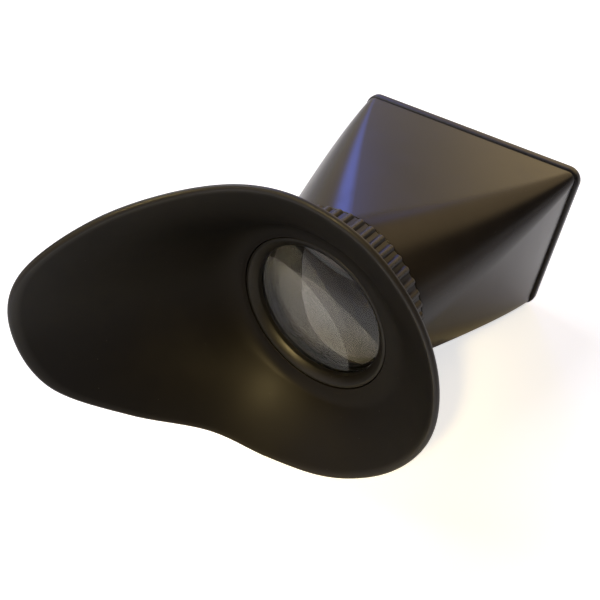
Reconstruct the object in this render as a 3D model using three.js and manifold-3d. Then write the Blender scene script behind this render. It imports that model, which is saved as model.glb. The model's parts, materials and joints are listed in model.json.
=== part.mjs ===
// Magnifying screen viewfinder: a moulded hood with a magnetic screen frame at its wide end, a
// focusing eyepiece of two lenses at its round end, and a soft winged eyecup that turns about it.
// Everything is built along the optical axis, from the screen frame's rear plane at z = 0 towards
// the eye, with x across the screen and y up it, and is then laid down as it rests on a table.
import * as THREE from 'three';
import { mergeVertices } from 'three/addons/utils/BufferGeometryUtils.js';
import Module from 'manifold-3d';

const wasm = await Module();
wasm.setup();

// Clearances, in millimetres like every other length here
const SEAT_GAP = 0.15;
const RUN_GAP = 0.3;
const OVERRUN = 1;

// Screen frame: a flat rectangular bezel that seats on the camera's screen
const SCREEN_WIDTH = 64;
const SCREEN_HEIGHT = 43;
const SIDE_RAIL = 6;
const END_RAIL = 5;
const FRAME_DEPTH = 3;
const FRAME_CORNER = 4.5;
const OPENING_CORNER = 1.5;

// Light seal on the frame's rear face
const GASKET_RECESS = 0.6;
const GASKET_THICKNESS = 0.9;
const GASKET_MARGIN = 1.2;

// Bar magnets under the seal, two along each side of the frame
const MAGNET_LENGTH = 12;
const MAGNET_WIDTH = 3;
const MAGNET_THICKNESS = 1.7;
const MAGNET_SPREAD_WIDE = 14;
const MAGNET_SPREAD_TALL = 10;

// Screws that hold the frame to the hood, one in the middle of each side
const SCREW_RADIUS = 0.8;
const SCREW_HEAD_RADIUS = 1.6;
const SCREW_HEAD_DEPTH = 0.9;
const SCREW_LENGTH = 6;
const SCREW_INSET = 1.4;
const BOSS_RADIUS = 2.2;
const BOSS_FLOOR = 1.5;

// Hood shell: rounded rectangle at the frame, circle at the focus ring
const HOOD_LENGTH = 66;
const HOOD_STEP = 1.1;
const HOOD_CORNER = 3;
const HOOD_WALL = 2;
const HOOD_END_WALL = 2.4;
// How late the hood's sides draw in along its length: 1 would be a straight taper
const HOOD_SWELL_POWER = 1.35;

// Lenses and the barrel that carries them
const FRONT_LENS_RADIUS = 21.3;
const FRONT_LENS_EDGE = 2.4;
const FRONT_LENS_FRONT_RISE = 3.2;
const FRONT_LENS_REAR_RISE = 1;
const REAR_LENS_EDGE = 2;
const REAR_LENS_RISE = 1.5;
const LENS_SPACING = 3.8;
const LENS_SEAT = 0.8;
const SPACER_WALL = 1;
const BARREL_WALL = 1.1;
const BARREL_TAIL = 5.2;
const SHOULDER_LENGTH = 0.9;
const SHOULDER_HEIGHT = 1.3;

// Neck of the hood that guides the barrel, and its seal
const NECK_WALL = 1.7;
const NECK_TAIL = 2;
const SPIGOT_WALL = 0.9;
const SEAL_SECTION_RADIUS = 0.62;

// Focus ring
const FOCUS_TRAVEL = 1.5;
const FOCUS_TURN = THREE.MathUtils.degToRad(50);
const RING_LAND_LENGTH = 5.6;
const RING_WALL = 2.1;
const RING_SKIRT = 0.75;
const RING_STEP = 0.95;
const RIB_COUNT = 48;
const RIB_DEPTH = 0.85;
const RIB_WIDTH_SHARE = 0.36;
const RIB_FLANK_SHARE = 0.1;
const RETAINER_LENGTH = 0.7;
const RETAINER_LIP = 0.8;
const PIN_COUNT = 3;
const PIN_RADIUS = 0.6;
const GROOVE_DEPTH = 0.95;

// Front of the eyepiece: collar, wave washer and the bright threaded ring around the glass
const COLLAR_NOSE = 0.5;
const COLLAR_WALL = 1.1;
const COLLAR_FLANGE_HEIGHT = 3.4;
const COLLAR_FLANGE_LENGTH = 0.9;
const WASHER_THICKNESS = 0.25;
const WASHER_WIDTH = 0.7;
const WASHER_WAVE = 0.18;
const WASHER_WAVES = 3;
const EYE_RING_LENGTH = 1.9;
const EYE_RING_OVERLAP = 1.2;
const EYE_RING_EDGE = 0.15;
const EYE_RING_TOP_WIDTH = 0.8;
const EYE_RING_FACE_DEPTH = 1.55;
// Where the ring's face bulges to, as shares of its width from the bore and of its depth
const BULGE_OUT_SHARE = 0.45;
const BULGE_UP_SHARE = 0.6;
const GLASS_RECESS = 3.5;
const GLASS_MARGIN = 0.6;
const REAR_RING_LENGTH = 2.2;
const REAR_RING_WALL = 2.4;
const NOTCH_WIDTH = 2;
const NOTCH_DEPTH = 1;

// Eyecup: moulded rubber, round at its base and drawn up into one wing
const EYECUP_LIP_RADIUS = 0.8;
const EYECUP_REAR_LIP = 0.65;
const EYECUP_BASE_WALL = 1.7;
const EYECUP_WALL = 1.3;
const EYECUP_MOUTH_RISE = 0.3;
const EYECUP_LAND_WIDTH = 4;
const EYECUP_LAND_RISE = 0.3;
const EYECUP_SIDE_RADIUS = 47.5;
const EYECUP_LOW_RISE = 10.5;
const EYECUP_WING_RISE = 46;
// Rim from the low side round to the wing's tip, in equal steps of angle
const RIM_RADIUS_SHARES = [0.939, 0.939, 0.959, 0.993, 1, 0.989, 1.037, 1.09, 1.117];
const RIM_RISE_SHARES = [0.008, 0, 0.013, 0.052, 0.124, 0.268, 0.608, 0.925, 1];
// Where the inside's curve is pulled to, out and up from the land to the rim: at the low side, at
// the two sides and at the wing
const FLARE_OUT_SHARES = [0.6, 0.18, 0.58];
const FLARE_UP_SHARES = [0.44, 0.42, 0.38];

// Steps of the faceted curves
const TURN_STEPS = 48;
const CORNER_STEPS = 7;
const ROUND_STEPS = 6;
const DOME_STEPS = 5;
const HOOD_STEPS = 7;
const GROOVE_STEPS = 14;
const EYECUP_STEPS = 56;
const FLARE_STEPS = 7;
const LIP_STEPS = 4;

// Places along the axis, each worked out from its neighbour
const frameWidth = SCREEN_WIDTH + 2 * SIDE_RAIL;
const frameHeight = SCREEN_HEIGHT + 2 * END_RAIL;
const shellRear = FRAME_DEPTH + SEAT_GAP;
const ringRear = HOOD_LENGTH + RUN_GAP;
const landFront = ringRear + RING_LAND_LENGTH;
const retainerRear = landFront + SEAT_GAP;
const neckFront = retainerRear + RETAINER_LENGTH;
const ringFront = neckFront + RING_SKIRT;
const shoulderRear = neckFront + FOCUS_TRAVEL + RUN_GAP;
const shoulderFront = shoulderRear + SHOULDER_LENGTH;
const collarRear = shoulderFront + SEAT_GAP;
const eyecupRear = ringFront + FOCUS_TRAVEL + RUN_GAP;
const flangeRear = eyecupRear + EYECUP_REAR_LIP + SEAT_GAP;
const flangeFront = flangeRear + COLLAR_FLANGE_LENGTH;
const collarFront = flangeFront + COLLAR_NOSE;
const washerMiddle = collarFront + SEAT_GAP + WASHER_WAVE + WASHER_THICKNESS / 2;
const eyeRingRear = washerMiddle + WASHER_THICKNESS / 2 + WASHER_WAVE + SEAT_GAP;
const eyeRingFront = eyeRingRear + EYE_RING_LENGTH;
const eyecupMouth = eyeRingFront + EYECUP_MOUTH_RISE;
const barrelFront = eyeRingRear - SEAT_GAP;
const glassFront = eyeRingFront - GLASS_RECESS;
const glassRear = glassFront - FRONT_LENS_EDGE;
const rearGlassFront = glassRear - 2 * SEAT_GAP - LENS_SPACING;
const rearGlassRear = rearGlassFront - REAR_LENS_EDGE;
const rearRingFront = rearGlassRear - SEAT_GAP;
const barrelRear = rearGlassRear - BARREL_TAIL;
const pinPlace = ringRear + RING_LAND_LENGTH / 2;

// Radii, from the glass outwards
const barrelBore = FRONT_LENS_RADIUS + SEAT_GAP;
const barrelRadius = barrelBore + BARREL_WALL;
const neckBore = barrelRadius + RUN_GAP;
const neckRadius = neckBore + NECK_WALL;
const ringBore = neckRadius + RUN_GAP;
const ringRadius = ringBore + RING_WALL;
const hoodEndRadius = ringRadius - RING_STEP;
const collarRadius = neckBore + COLLAR_WALL;
const collarFlangeRadius = collarRadius + COLLAR_FLANGE_HEIGHT;
const eyeRingRadius = barrelRadius + EYE_RING_OVERLAP;
const eyeRingBore = FRONT_LENS_RADIUS - GLASS_MARGIN;
const mouthRadius = collarRadius + SEAT_GAP;

const FINISHES = {
  frame: { color: 0x17130f, roughness: 0.38, metalness: 0 },
  hood: { color: 0x2b2521, roughness: 0.3, metalness: 0 },
  ring: { color: 0x1f1b1c, roughness: 0.42, metalness: 0 },
  barrel: { color: 0x131211, roughness: 0.6, metalness: 0 },
  trim: { color: 0x1d1a14, roughness: 0.2, metalness: 0 },
  rubber: { color: 0x1d1814, roughness: 0.72, metalness: 0 },
  seal: { color: 0x0e0e0e, roughness: 0.95, metalness: 0 },
  glass: { color: 0x8d8d88, roughness: 0.05, metalness: 0 },
  magnet: { color: 0xb4b6b8, roughness: 0.3, metalness: 1 },
  steel: { color: 0x8e9093, roughness: 0.35, metalness: 1 },
};

/** Closed geometry as a solid that can be cut and joined. */
function asSolid(geometry) {
  const bare = geometry.clone();
  bare.deleteAttribute('normal');
  bare.deleteAttribute('uv');
  const merged = mergeVertices(bare);
  return new wasm.Manifold(new wasm.Mesh({
    numProp: 3,
    vertProperties: new Float32Array(merged.attributes.position.array),
    triVerts: new Uint32Array(merged.index.array),
  }));
}

/** Solid as a geometry with flat facets. */
function asGeometry(solid) {
  const mesh = solid.getMesh();
  const geometry = new THREE.BufferGeometry();
  geometry.setAttribute('position', new THREE.BufferAttribute(new Float32Array(mesh.vertProperties), 3));
  geometry.setIndex(new THREE.BufferAttribute(new Uint32Array(mesh.triVerts), 1));
  geometry.computeVertexNormals();
  return geometry;
}

/** First geometry with the others cut out of it. */
function cut(geometry, ...tools) {
  return asGeometry(tools.reduce((solid, tool) => solid.subtract(asSolid(tool)), asSolid(geometry)));
}

/** Solid of revolution about the axis, from a closed outline of [radius, place] points. */
function turned(outline, steps = TURN_STEPS) {
  const points = [...outline, outline[0]].map(([radius, place]) => new THREE.Vector2(radius, place));
  return new THREE.LatheGeometry(points, steps).rotateX(Math.PI / 2);
}

/** Plain ring between two radii and two places on the axis. */
function hoop(inner, outer, rear, front, steps = TURN_STEPS) {
  return turned([[inner, rear], [outer, rear], [outer, front], [inner, front]], steps);
}

/** Rod along the axis. */
function rod(radius, rear, front, steps = TURN_STEPS) {
  return new THREE.CylinderGeometry(radius, radius, front - rear, steps)
    .rotateX(Math.PI / 2).translate(0, 0, (rear + front) / 2);
}

/** Points of a rounded rectangle, given by half its width, half its height and its corner radius. */
function roundedOutline(halfWidth, halfHeight, corner) {
  const points = [];
  for (let quarter = 0; quarter < 4; quarter += 1) {
    const centreX = (quarter === 0 || quarter === 3 ? 1 : -1) * (halfWidth - corner);
    const centreY = (quarter < 2 ? 1 : -1) * (halfHeight - corner);
    for (let step = 0; step <= CORNER_STEPS; step += 1) {
      const angle = (quarter + step / CORNER_STEPS) * Math.PI / 2;
      points.push([centreX + corner * Math.cos(angle), centreY + corner * Math.sin(angle)]);
    }
  }
  return points;
}

/** Upright plate with a rounded rectangular outline. */
function plate(halfWidth, halfHeight, corner, rear, front) {
  const shape = new THREE.Shape(
    roundedOutline(halfWidth, halfHeight, corner).map(([x, y]) => new THREE.Vector2(x, y)));
  return new THREE.ExtrudeGeometry(shape, { depth: front - rear, bevelEnabled: false }).translate(0, 0, rear);
}

/** Geometry from rows of points, each row joined to the next; closed rows, open or closed stack. */
function skin(rows, stackCloses) {
  const count = rows[0].length;
  const positions = rows.flat(2);
  const index = [];
  const stackSteps = stackCloses ? rows.length : rows.length - 1;
  for (let row = 0; row < stackSteps; row += 1) {
    const next = (row + 1) % rows.length;
    for (let side = 0; side < count; side += 1) {
      const beside = (side + 1) % count;
      const [a, b] = [row * count + side, row * count + beside];
      const [c, d] = [next * count + side, next * count + beside];
      index.push(a, b, d, a, d, c);
    }
  }
  if (!stackCloses) {
    const last = (rows.length - 1) * count;
    for (let side = 1; side < count - 1; side += 1) {
      index.push(0, side + 1, side);
      index.push(last, last + side, last + side + 1);
    }
  }
  const geometry = new THREE.BufferGeometry();
  geometry.setAttribute('position', new THREE.Float32BufferAttribute(positions, 3));
  geometry.setIndex(index);
  geometry.computeVertexNormals();
  return geometry;
}

/** Section of the hood at a share of its length, drawn in by the given wall. */
function hoodSection(share, wall) {
  const halfWidth = frameWidth / 2 - HOOD_STEP;
  const halfHeight = frameHeight / 2 - HOOD_STEP;
  const swell = share ** HOOD_SWELL_POWER;
  const width = THREE.MathUtils.lerp(halfWidth, hoodEndRadius, swell) - wall;
  const height = THREE.MathUtils.lerp(halfHeight, hoodEndRadius, share) - wall;
  const corner = THREE.MathUtils.lerp(HOOD_CORNER, hoodEndRadius, share) - wall;
  return roundedOutline(width, height, Math.min(corner, width, height));
}

/** Solid of the hood's outside or inside, over its length. */
function hoodForm(wall, rear, front) {
  const rows = [];
  for (let step = 0; step <= HOOD_STEPS; step += 1) {
    const place = THREE.MathUtils.lerp(rear, front, step / HOOD_STEPS);
    const share = THREE.MathUtils.clamp((place - shellRear) / (HOOD_LENGTH - shellRear), 0, 1);
    rows.push(hoodSection(share, wall).map(([x, y]) => [x, y, place]));
  }
  return skin(rows, false);
}

/** Middles of the frame's four screws, with the side of the frame that each is on. */
function screwPlaces() {
  const x = frameWidth / 2 - HOOD_STEP - SCREW_INSET;
  const y = frameHeight / 2 - HOOD_STEP - SCREW_INSET;
  return [[x, 0], [0, y], [-x, 0], [0, -y]];
}

/** Middles of the eight magnets, with their quarter turns. */
function magnetPlaces() {
  const x = frameWidth / 2 - SIDE_RAIL / 2;
  const y = frameHeight / 2 - END_RAIL / 2;
  return [
    [-MAGNET_SPREAD_WIDE, y, 0], [MAGNET_SPREAD_WIDE, y, 0],
    [x, MAGNET_SPREAD_TALL, 1], [x, -MAGNET_SPREAD_TALL, 1],
    [MAGNET_SPREAD_WIDE, -y, 0], [-MAGNET_SPREAD_WIDE, -y, 0],
    [-x, -MAGNET_SPREAD_TALL, 1], [-x, MAGNET_SPREAD_TALL, 1],
  ];
}

/** Bar for a magnet, or for its pocket when it is widened by a clearance. */
function bar([x, y, quarter], clearance, rear, front) {
  return new THREE.BoxGeometry(MAGNET_LENGTH + 2 * clearance, MAGNET_WIDTH + 2 * clearance, front - rear)
    .rotateZ(quarter * Math.PI / 2).translate(x, y, (rear + front) / 2);
}

function screenFrame() {
  const halfWidth = SCREEN_WIDTH / 2;
  const halfHeight = SCREEN_HEIGHT / 2;
  const pocketFloor = GASKET_RECESS + MAGNET_THICKNESS + 2 * SEAT_GAP;
  const headFloor = GASKET_RECESS + SCREW_HEAD_DEPTH + SEAT_GAP;
  const recess = plate(frameWidth / 2 - GASKET_MARGIN, frameHeight / 2 - GASKET_MARGIN,
    FRAME_CORNER - GASKET_MARGIN, -OVERRUN, GASKET_RECESS);
  const pockets = magnetPlaces().map((place) => bar(place, SEAT_GAP, -OVERRUN, pocketFloor));
  const holes = screwPlaces().flatMap(([x, y]) => [
    rod(SCREW_HEAD_RADIUS + SEAT_GAP, -OVERRUN, headFloor, TURN_STEPS / 3).translate(x, y, 0),
    rod(SCREW_RADIUS + SEAT_GAP, -OVERRUN, FRAME_DEPTH + OVERRUN, TURN_STEPS / 4).translate(x, y, 0),
  ]);
  return cut(plate(frameWidth / 2, frameHeight / 2, FRAME_CORNER, 0, FRAME_DEPTH),
    plate(halfWidth, halfHeight, OPENING_CORNER, -OVERRUN, FRAME_DEPTH + OVERRUN),
    recess, ...pockets, ...holes);
}

function faceGasket() {
  const edge = GASKET_MARGIN + SEAT_GAP;
  const front = GASKET_RECESS - SEAT_GAP;
  const rear = front - GASKET_THICKNESS;
  return cut(
    plate(frameWidth / 2 - edge, frameHeight / 2 - edge, FRAME_CORNER - edge, rear, front),
    plate(SCREEN_WIDTH / 2, SCREEN_HEIGHT / 2, OPENING_CORNER, rear - OVERRUN, front + OVERRUN));
}

function magnet(place) {
  const rear = GASKET_RECESS + SEAT_GAP;
  return bar(place, 0, rear, rear + MAGNET_THICKNESS);
}

function frameScrew([x, y]) {
  const rear = GASKET_RECESS;
  const neck = rear + SCREW_HEAD_DEPTH;
  return turned([[0, rear], [SCREW_HEAD_RADIUS, rear], [SCREW_HEAD_RADIUS, neck], [SCREW_RADIUS, neck],
    [SCREW_RADIUS, neck + SCREW_LENGTH], [0, neck + SCREW_LENGTH]], TURN_STEPS / 4).translate(x, y, 0);
}

/** Straight slot through the neck for one guide pin. */
function pinSlot(angle) {
  const width = 2 * (PIN_RADIUS + SEAT_GAP);
  const length = 2 * (FOCUS_TRAVEL + PIN_RADIUS + SEAT_GAP);
  const depth = NECK_WALL + 2 * OVERRUN;
  return new THREE.BoxGeometry(depth, width, length)
    .translate((neckBore + neckRadius) / 2, 0, pinPlace).rotateZ(angle);
}

function hoodShell() {
  const innerFront = HOOD_LENGTH - HOOD_END_WALL;
  const bossFront = GASKET_RECESS + SCREW_HEAD_DEPTH + SCREW_LENGTH + BOSS_FLOOR;
  const holeFront = bossFront - BOSS_FLOOR + SEAT_GAP;
  const outside = asSolid(hoodForm(0, shellRear, HOOD_LENGTH));
  let shell = outside.subtract(asSolid(hoodForm(HOOD_WALL, shellRear - OVERRUN, innerFront)));
  for (const [x, y] of screwPlaces()) {
    const boss = asSolid(rod(BOSS_RADIUS, shellRear, bossFront, TURN_STEPS / 3).translate(x, y, 0));
    shell = shell.add(boss.intersect(outside));
  }
  shell = shell.add(asSolid(turned([[neckBore - SPIGOT_WALL, innerFront - NECK_TAIL],
    [neckRadius, innerFront - NECK_TAIL], [neckRadius, retainerRear - SEAT_GAP],
    [neckBore + SPIGOT_WALL, retainerRear - SEAT_GAP], [neckBore + SPIGOT_WALL, neckFront],
    [neckBore - SPIGOT_WALL, neckFront]])));
  const cuts = [rod(neckBore, innerFront - NECK_TAIL - OVERRUN, neckFront + OVERRUN), sealGroove()];
  for (let pin = 0; pin < PIN_COUNT; pin += 1) cuts.push(pinSlot(pinAngle(pin)));
  for (const [x, y] of screwPlaces()) {
    cuts.push(rod(SCREW_RADIUS + SEAT_GAP, 0, holeFront, TURN_STEPS / 4).translate(x, y, 0));
  }
  return asGeometry(cuts.reduce((solid, tool) => solid.subtract(asSolid(tool)), shell));
}

/** Middle of the seal's groove in the neck's bore. */
function sealPlace() {
  return HOOD_LENGTH - HOOD_END_WALL / 2;
}

function sealGroove() {
  const half = SEAL_SECTION_RADIUS + SEAT_GAP;
  return hoop(barrelRadius, barrelRadius + SEAT_GAP + 2 * half, sealPlace() - half, sealPlace() + half);
}

function barrelSeal() {
  const middle = barrelRadius + SEAT_GAP + SEAL_SECTION_RADIUS;
  return new THREE.TorusGeometry(middle, SEAL_SECTION_RADIUS, ROUND_STEPS, TURN_STEPS)
    .translate(0, 0, sealPlace());
}

function pinAngle(pin) {
  return (pin + 0.5) * 2 * Math.PI / PIN_COUNT;
}

function guidePin(pin) {
  const inner = barrelBore + SEAT_GAP;
  const outer = ringBore + GROOVE_DEPTH - SEAT_GAP;
  return new THREE.CylinderGeometry(PIN_RADIUS, PIN_RADIUS, outer - inner, TURN_STEPS / 4)
    .rotateZ(Math.PI / 2).translate((inner + outer) / 2, 0, pinPlace).rotateZ(pinAngle(pin));
}

/** Helical groove in the focus ring's bore, which pushes one pin along as the ring turns. */
function pinGroove(pin) {
  const spare = 2 * (PIN_RADIUS + SEAT_GAP) / ringBore;
  const half = PIN_RADIUS + SEAT_GAP;
  const rows = [];
  for (let step = 0; step <= GROOVE_STEPS; step += 1) {
    const angle = THREE.MathUtils.lerp(-FOCUS_TURN - spare, FOCUS_TURN + spare, step / GROOVE_STEPS);
    const place = pinPlace - FOCUS_TRAVEL * angle / FOCUS_TURN;
    const at = (radius, height) => [
      radius * Math.cos(angle + pinAngle(pin)), radius * Math.sin(angle + pinAngle(pin)), height];
    const [inner, outer] = [ringBore - OVERRUN, ringBore + GROOVE_DEPTH];
    rows.push([at(inner, place - half), at(inner, place + half),
      at(outer, place + half), at(outer, place - half)]);
  }
  return skin(rows, false);
}

/** Outline of the knurled ring: flat ribs with sloped flanks. */
function ribbedOutline() {
  const root = ringRadius - RIB_DEPTH;
  const points = [];
  for (let rib = 0; rib < RIB_COUNT; rib += 1) {
    const half = RIB_WIDTH_SHARE / 2;
    for (const [share, radius] of [[-half - RIB_FLANK_SHARE, root], [-half, ringRadius],
      [half, ringRadius], [half + RIB_FLANK_SHARE, root]]) {
      const angle = (rib + share) * 2 * Math.PI / RIB_COUNT;
      points.push(new THREE.Vector2(radius * Math.cos(angle), radius * Math.sin(angle)));
    }
  }
  return points;
}

function focusRing() {
  const body = new THREE.ExtrudeGeometry(new THREE.Shape(ribbedOutline()),
    { depth: ringFront - ringRear, bevelEnabled: false }).translate(0, 0, ringRear);
  const retainerRadius = neckRadius + RETAINER_LIP;
  const cuts = [
    rod(ringBore, ringRear - OVERRUN, ringFront + OVERRUN),
    rod(retainerRadius + SEAT_GAP, landFront, ringFront + OVERRUN),
  ];
  for (let pin = 0; pin < PIN_COUNT; pin += 1) cuts.push(pinGroove(pin));
  return cut(body, ...cuts);
}

function ringRetainer() {
  const inner = neckBore + SPIGOT_WALL + SEAT_GAP;
  return hoop(inner, neckRadius + RETAINER_LIP, retainerRear, neckFront);
}

function lensBarrel() {
  const tube = turned([[barrelBore, barrelRear], [barrelRadius, barrelRear], [barrelRadius, shoulderRear],
    [barrelRadius + SHOULDER_HEIGHT, shoulderRear], [barrelRadius + SHOULDER_HEIGHT, shoulderFront],
    [barrelRadius, shoulderFront], [barrelRadius, barrelFront], [barrelBore, barrelFront]]);
  const holes = [];
  for (let pin = 0; pin < PIN_COUNT; pin += 1) {
    holes.push(new THREE.CylinderGeometry(PIN_RADIUS + SEAT_GAP, PIN_RADIUS + SEAT_GAP,
      BARREL_WALL + 2 * OVERRUN, TURN_STEPS / 4)
      .rotateZ(Math.PI / 2).translate((barrelBore + barrelRadius) / 2, 0, pinPlace).rotateZ(pinAngle(pin)));
  }
  return cut(tube, ...holes);
}

/** Points of a spherical face from its edge to its middle, which rises above the edge. */
function domePoints(radius, rise, steps) {
  const curve = (radius ** 2 + rise ** 2) / (2 * rise);
  return Array.from({ length: steps + 1 }, (_, step) => {
    const out = radius * (1 - step / steps);
    return [out, Math.sqrt(curve ** 2 - out ** 2) - curve + rise];
  });
}

/** Lens with flat seats round its domes on a cylindrical edge; a rise of zero makes a face flat. */
function lens(radius, rear, front, frontRise, rearRise) {
  const dome = radius - LENS_SEAT;
  const frontFace = domePoints(dome, frontRise, DOME_STEPS).map(([out, up]) => [out, front + up]);
  const rearFace = rearRise > 0
    ? domePoints(dome, rearRise, DOME_STEPS).map(([out, up]) => [out, rear - up]).reverse()
    : [[0, rear]];
  const points = [...rearFace, [radius, rear], [radius, front], ...frontFace]
    .map(([out, place]) => new THREE.Vector2(out, place));
  return new THREE.LatheGeometry(points, TURN_STEPS).rotateX(Math.PI / 2);
}

function frontLens() {
  return lens(FRONT_LENS_RADIUS, glassRear, glassFront, FRONT_LENS_FRONT_RISE, FRONT_LENS_REAR_RISE);
}

function rearLens() {
  return lens(FRONT_LENS_RADIUS, rearGlassRear, rearGlassFront, REAR_LENS_RISE, 0);
}

function lensSpacer() {
  return hoop(FRONT_LENS_RADIUS - SPACER_WALL, FRONT_LENS_RADIUS,
    rearGlassFront + SEAT_GAP, glassRear - SEAT_GAP);
}

/** Threaded ring behind the rear lens, with two notches for a spanner. */
function rearLensRing() {
  const rear = rearRingFront - REAR_RING_LENGTH;
  const notch = new THREE.BoxGeometry(2 * barrelRadius, NOTCH_WIDTH, 2 * NOTCH_DEPTH).translate(0, 0, rear);
  return cut(hoop(FRONT_LENS_RADIUS - REAR_RING_WALL, FRONT_LENS_RADIUS, rear, rearRingFront), notch);
}

/** Bright ring around the glass: a skirt inside the barrel under a flange whose face slopes in. */
function eyeRing() {
  const faceRear = eyeRingFront - EYE_RING_FACE_DEPTH;
  const faceRadius = eyeRingRadius - EYE_RING_TOP_WIDTH;
  const bulge = new THREE.Vector2(THREE.MathUtils.lerp(eyeRingBore, faceRadius, BULGE_OUT_SHARE),
    THREE.MathUtils.lerp(faceRear, eyeRingFront, BULGE_UP_SHARE));
  const face = new THREE.QuadraticBezierCurve(
    new THREE.Vector2(faceRadius, eyeRingFront), bulge, new THREE.Vector2(eyeRingBore, faceRear));
  return turned([[eyeRingBore, glassFront + SEAT_GAP], [FRONT_LENS_RADIUS, glassFront + SEAT_GAP],
    [FRONT_LENS_RADIUS, eyeRingRear], [eyeRingRadius, eyeRingRear],
    [eyeRingRadius, eyeRingFront - EYE_RING_EDGE], [eyeRingRadius - EYE_RING_EDGE, eyeRingFront],
    ...face.getPoints(ROUND_STEPS).map(({ x, y }) => [x, y])]);
}

/** Thin washer with a wave round it, which gives the eyecup its friction. */
function waveWasher() {
  const rows = [];
  for (let step = 0; step < TURN_STEPS; step += 1) {
    const angle = 2 * Math.PI * step / TURN_STEPS;
    const middle = washerMiddle + WASHER_WAVE * Math.cos(WASHER_WAVES * angle);
    const at = (radius, height) => [radius * Math.cos(angle), radius * Math.sin(angle), middle + height];
    const [inner, outer, half] = [neckBore, neckBore + WASHER_WIDTH, WASHER_THICKNESS / 2];
    rows.push([at(inner, -half), at(inner, half), at(outer, half), at(outer, -half)]);
  }
  return skin(rows, true);
}

function eyecupCollar() {
  return turned([[neckBore, collarRear], [collarRadius, collarRear], [collarRadius, flangeRear],
    [collarFlangeRadius, flangeRear], [collarFlangeRadius, flangeFront], [collarRadius, flangeFront],
    [collarRadius, collarFront], [neckBore, collarFront]]);
}

/** Rim of the eyecup as a closed curve, from the low side round over the wing. */
function rimCurve() {
  const last = RIM_RADIUS_SHARES.length - 1;
  const points = [];
  for (let step = 0; step < 2 * last; step += 1) {
    const side = step <= last ? step : 2 * last - step;
    const angle = Math.PI * step / last;
    const radius = EYECUP_SIDE_RADIUS * RIM_RADIUS_SHARES[side];
    const place = eyecupMouth + EYECUP_LOW_RISE + EYECUP_WING_RISE * RIM_RISE_SHARES[side];
    points.push(new THREE.Vector3(radius * Math.cos(angle), radius * Math.sin(angle), place));
  }
  return new THREE.CatmullRomCurve3(points, true, 'catmullrom', 0.5);
}

/** Share at an angle from the low side, from those at the low side, at the sides and at the wing. */
function shareAt(angle, [low, side, wing]) {
  const turn = Math.cos(angle);
  return side + (low - wing) / 2 * turn + ((low + wing) / 2 - side) * turn ** 2;
}

/** Point that pulls the inside's curve out, between its start on the land and the rim. */
function flarePull(start, rim, angle) {
  return new THREE.Vector2(THREE.MathUtils.lerp(start.x, rim.x, shareAt(angle, FLARE_OUT_SHARES)),
    THREE.MathUtils.lerp(start.y, rim.y, shareAt(angle, FLARE_UP_SHARES)));
}

/** Direction across another one, out of the cup. */
function outOf(direction) {
  return new THREE.Vector2(direction.y, -direction.x).normalize();
}

/** Closed section of the eyecup through the axis at an angle, as [radius, place] points. */
function eyecupSection(rimRadius, rimPlace, angle) {
  const rim = new THREE.Vector2(rimRadius, rimPlace);
  const start = new THREE.Vector2(mouthRadius + EYECUP_LAND_WIDTH, eyecupMouth + EYECUP_LAND_RISE);
  const along = rim.clone().sub(flarePull(start, rim, angle)).normalize();
  const lipCentre = rim.clone().addScaledVector(along, -EYECUP_LIP_RADIUS);
  const lip = Array.from({ length: LIP_STEPS + 1 }, (_, step) => {
    const turn = Math.PI * (step / LIP_STEPS - 0.5);
    return lipCentre.clone().addScaledVector(outOf(along), EYECUP_LIP_RADIUS * Math.sin(turn))
      .addScaledVector(along, EYECUP_LIP_RADIUS * Math.cos(turn));
  });
  const [innerRim, outerRim] = [lip[0], lip[LIP_STEPS]];
  const pull = flarePull(start, innerRim, angle);
  const outerPull = pull.clone().addScaledVector(outOf(rim.clone().sub(start)), EYECUP_WALL);
  const corner = new THREE.Vector2(collarFlangeRadius + SEAT_GAP + EYECUP_BASE_WALL,
    eyecupRear + EYECUP_REAR_LIP);
  const inner = new THREE.QuadraticBezierCurve(start, pull, innerRim).getPoints(FLARE_STEPS);
  const outer = new THREE.QuadraticBezierCurve(outerRim, outerPull, corner).getPoints(FLARE_STEPS);
  const grooveRadius = collarFlangeRadius + SEAT_GAP;
  const [grooveRear, grooveFront] = [flangeRear - SEAT_GAP, flangeFront + SEAT_GAP];
  return [[mouthRadius, eyecupMouth], ...[...inner, ...lip.slice(1, -1), ...outer].map(({ x, y }) => [x, y]),
    [corner.x, eyecupRear], [mouthRadius, eyecupRear], [mouthRadius, grooveRear], [grooveRadius, grooveRear],
    [grooveRadius, grooveFront], [mouthRadius, grooveFront]];
}

function eyecup() {
  const rim = rimCurve();
  const rows = [];
  for (let step = 0; step < EYECUP_STEPS; step += 1) {
    const point = rim.getPoint(step / EYECUP_STEPS);
    const angle = Math.atan2(point.y, point.x);
    const section = eyecupSection(Math.hypot(point.x, point.y), point.z, angle);
    rows.push(section.map(([radius, place]) => [radius * Math.cos(angle), radius * Math.sin(angle), place]));
  }
  return skin(rows, true);
}

/** Named mesh in one of the finishes. */
function piece(name, geometry, finish) {
  const mesh = new THREE.Mesh(geometry, new THREE.MeshStandardMaterial(FINISHES[finish]));
  mesh.name = name;
  return mesh;
}

/** Fixed hood: frame, seal, magnets, screws, shell, ring retainer and barrel seal. */
function hoodGroup() {
  const group = new THREE.Group();
  group.add(
    piece('screen_frame', screenFrame(), 'frame'),
    piece('face_gasket', faceGasket(), 'seal'),
    piece('hood_shell', hoodShell(), 'hood'),
    piece('ring_retainer', ringRetainer(), 'steel'),
    piece('barrel_seal', barrelSeal(), 'seal'));
  magnetPlaces().forEach((place, number) => {
    group.add(piece(`magnet_${number + 1}`, magnet(place), 'magnet'));
  });
  screwPlaces().forEach((place, number) => {
    group.add(piece(`frame_screw_${number + 1}`, frameScrew(place), 'steel'));
  });
  return group;
}

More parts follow.
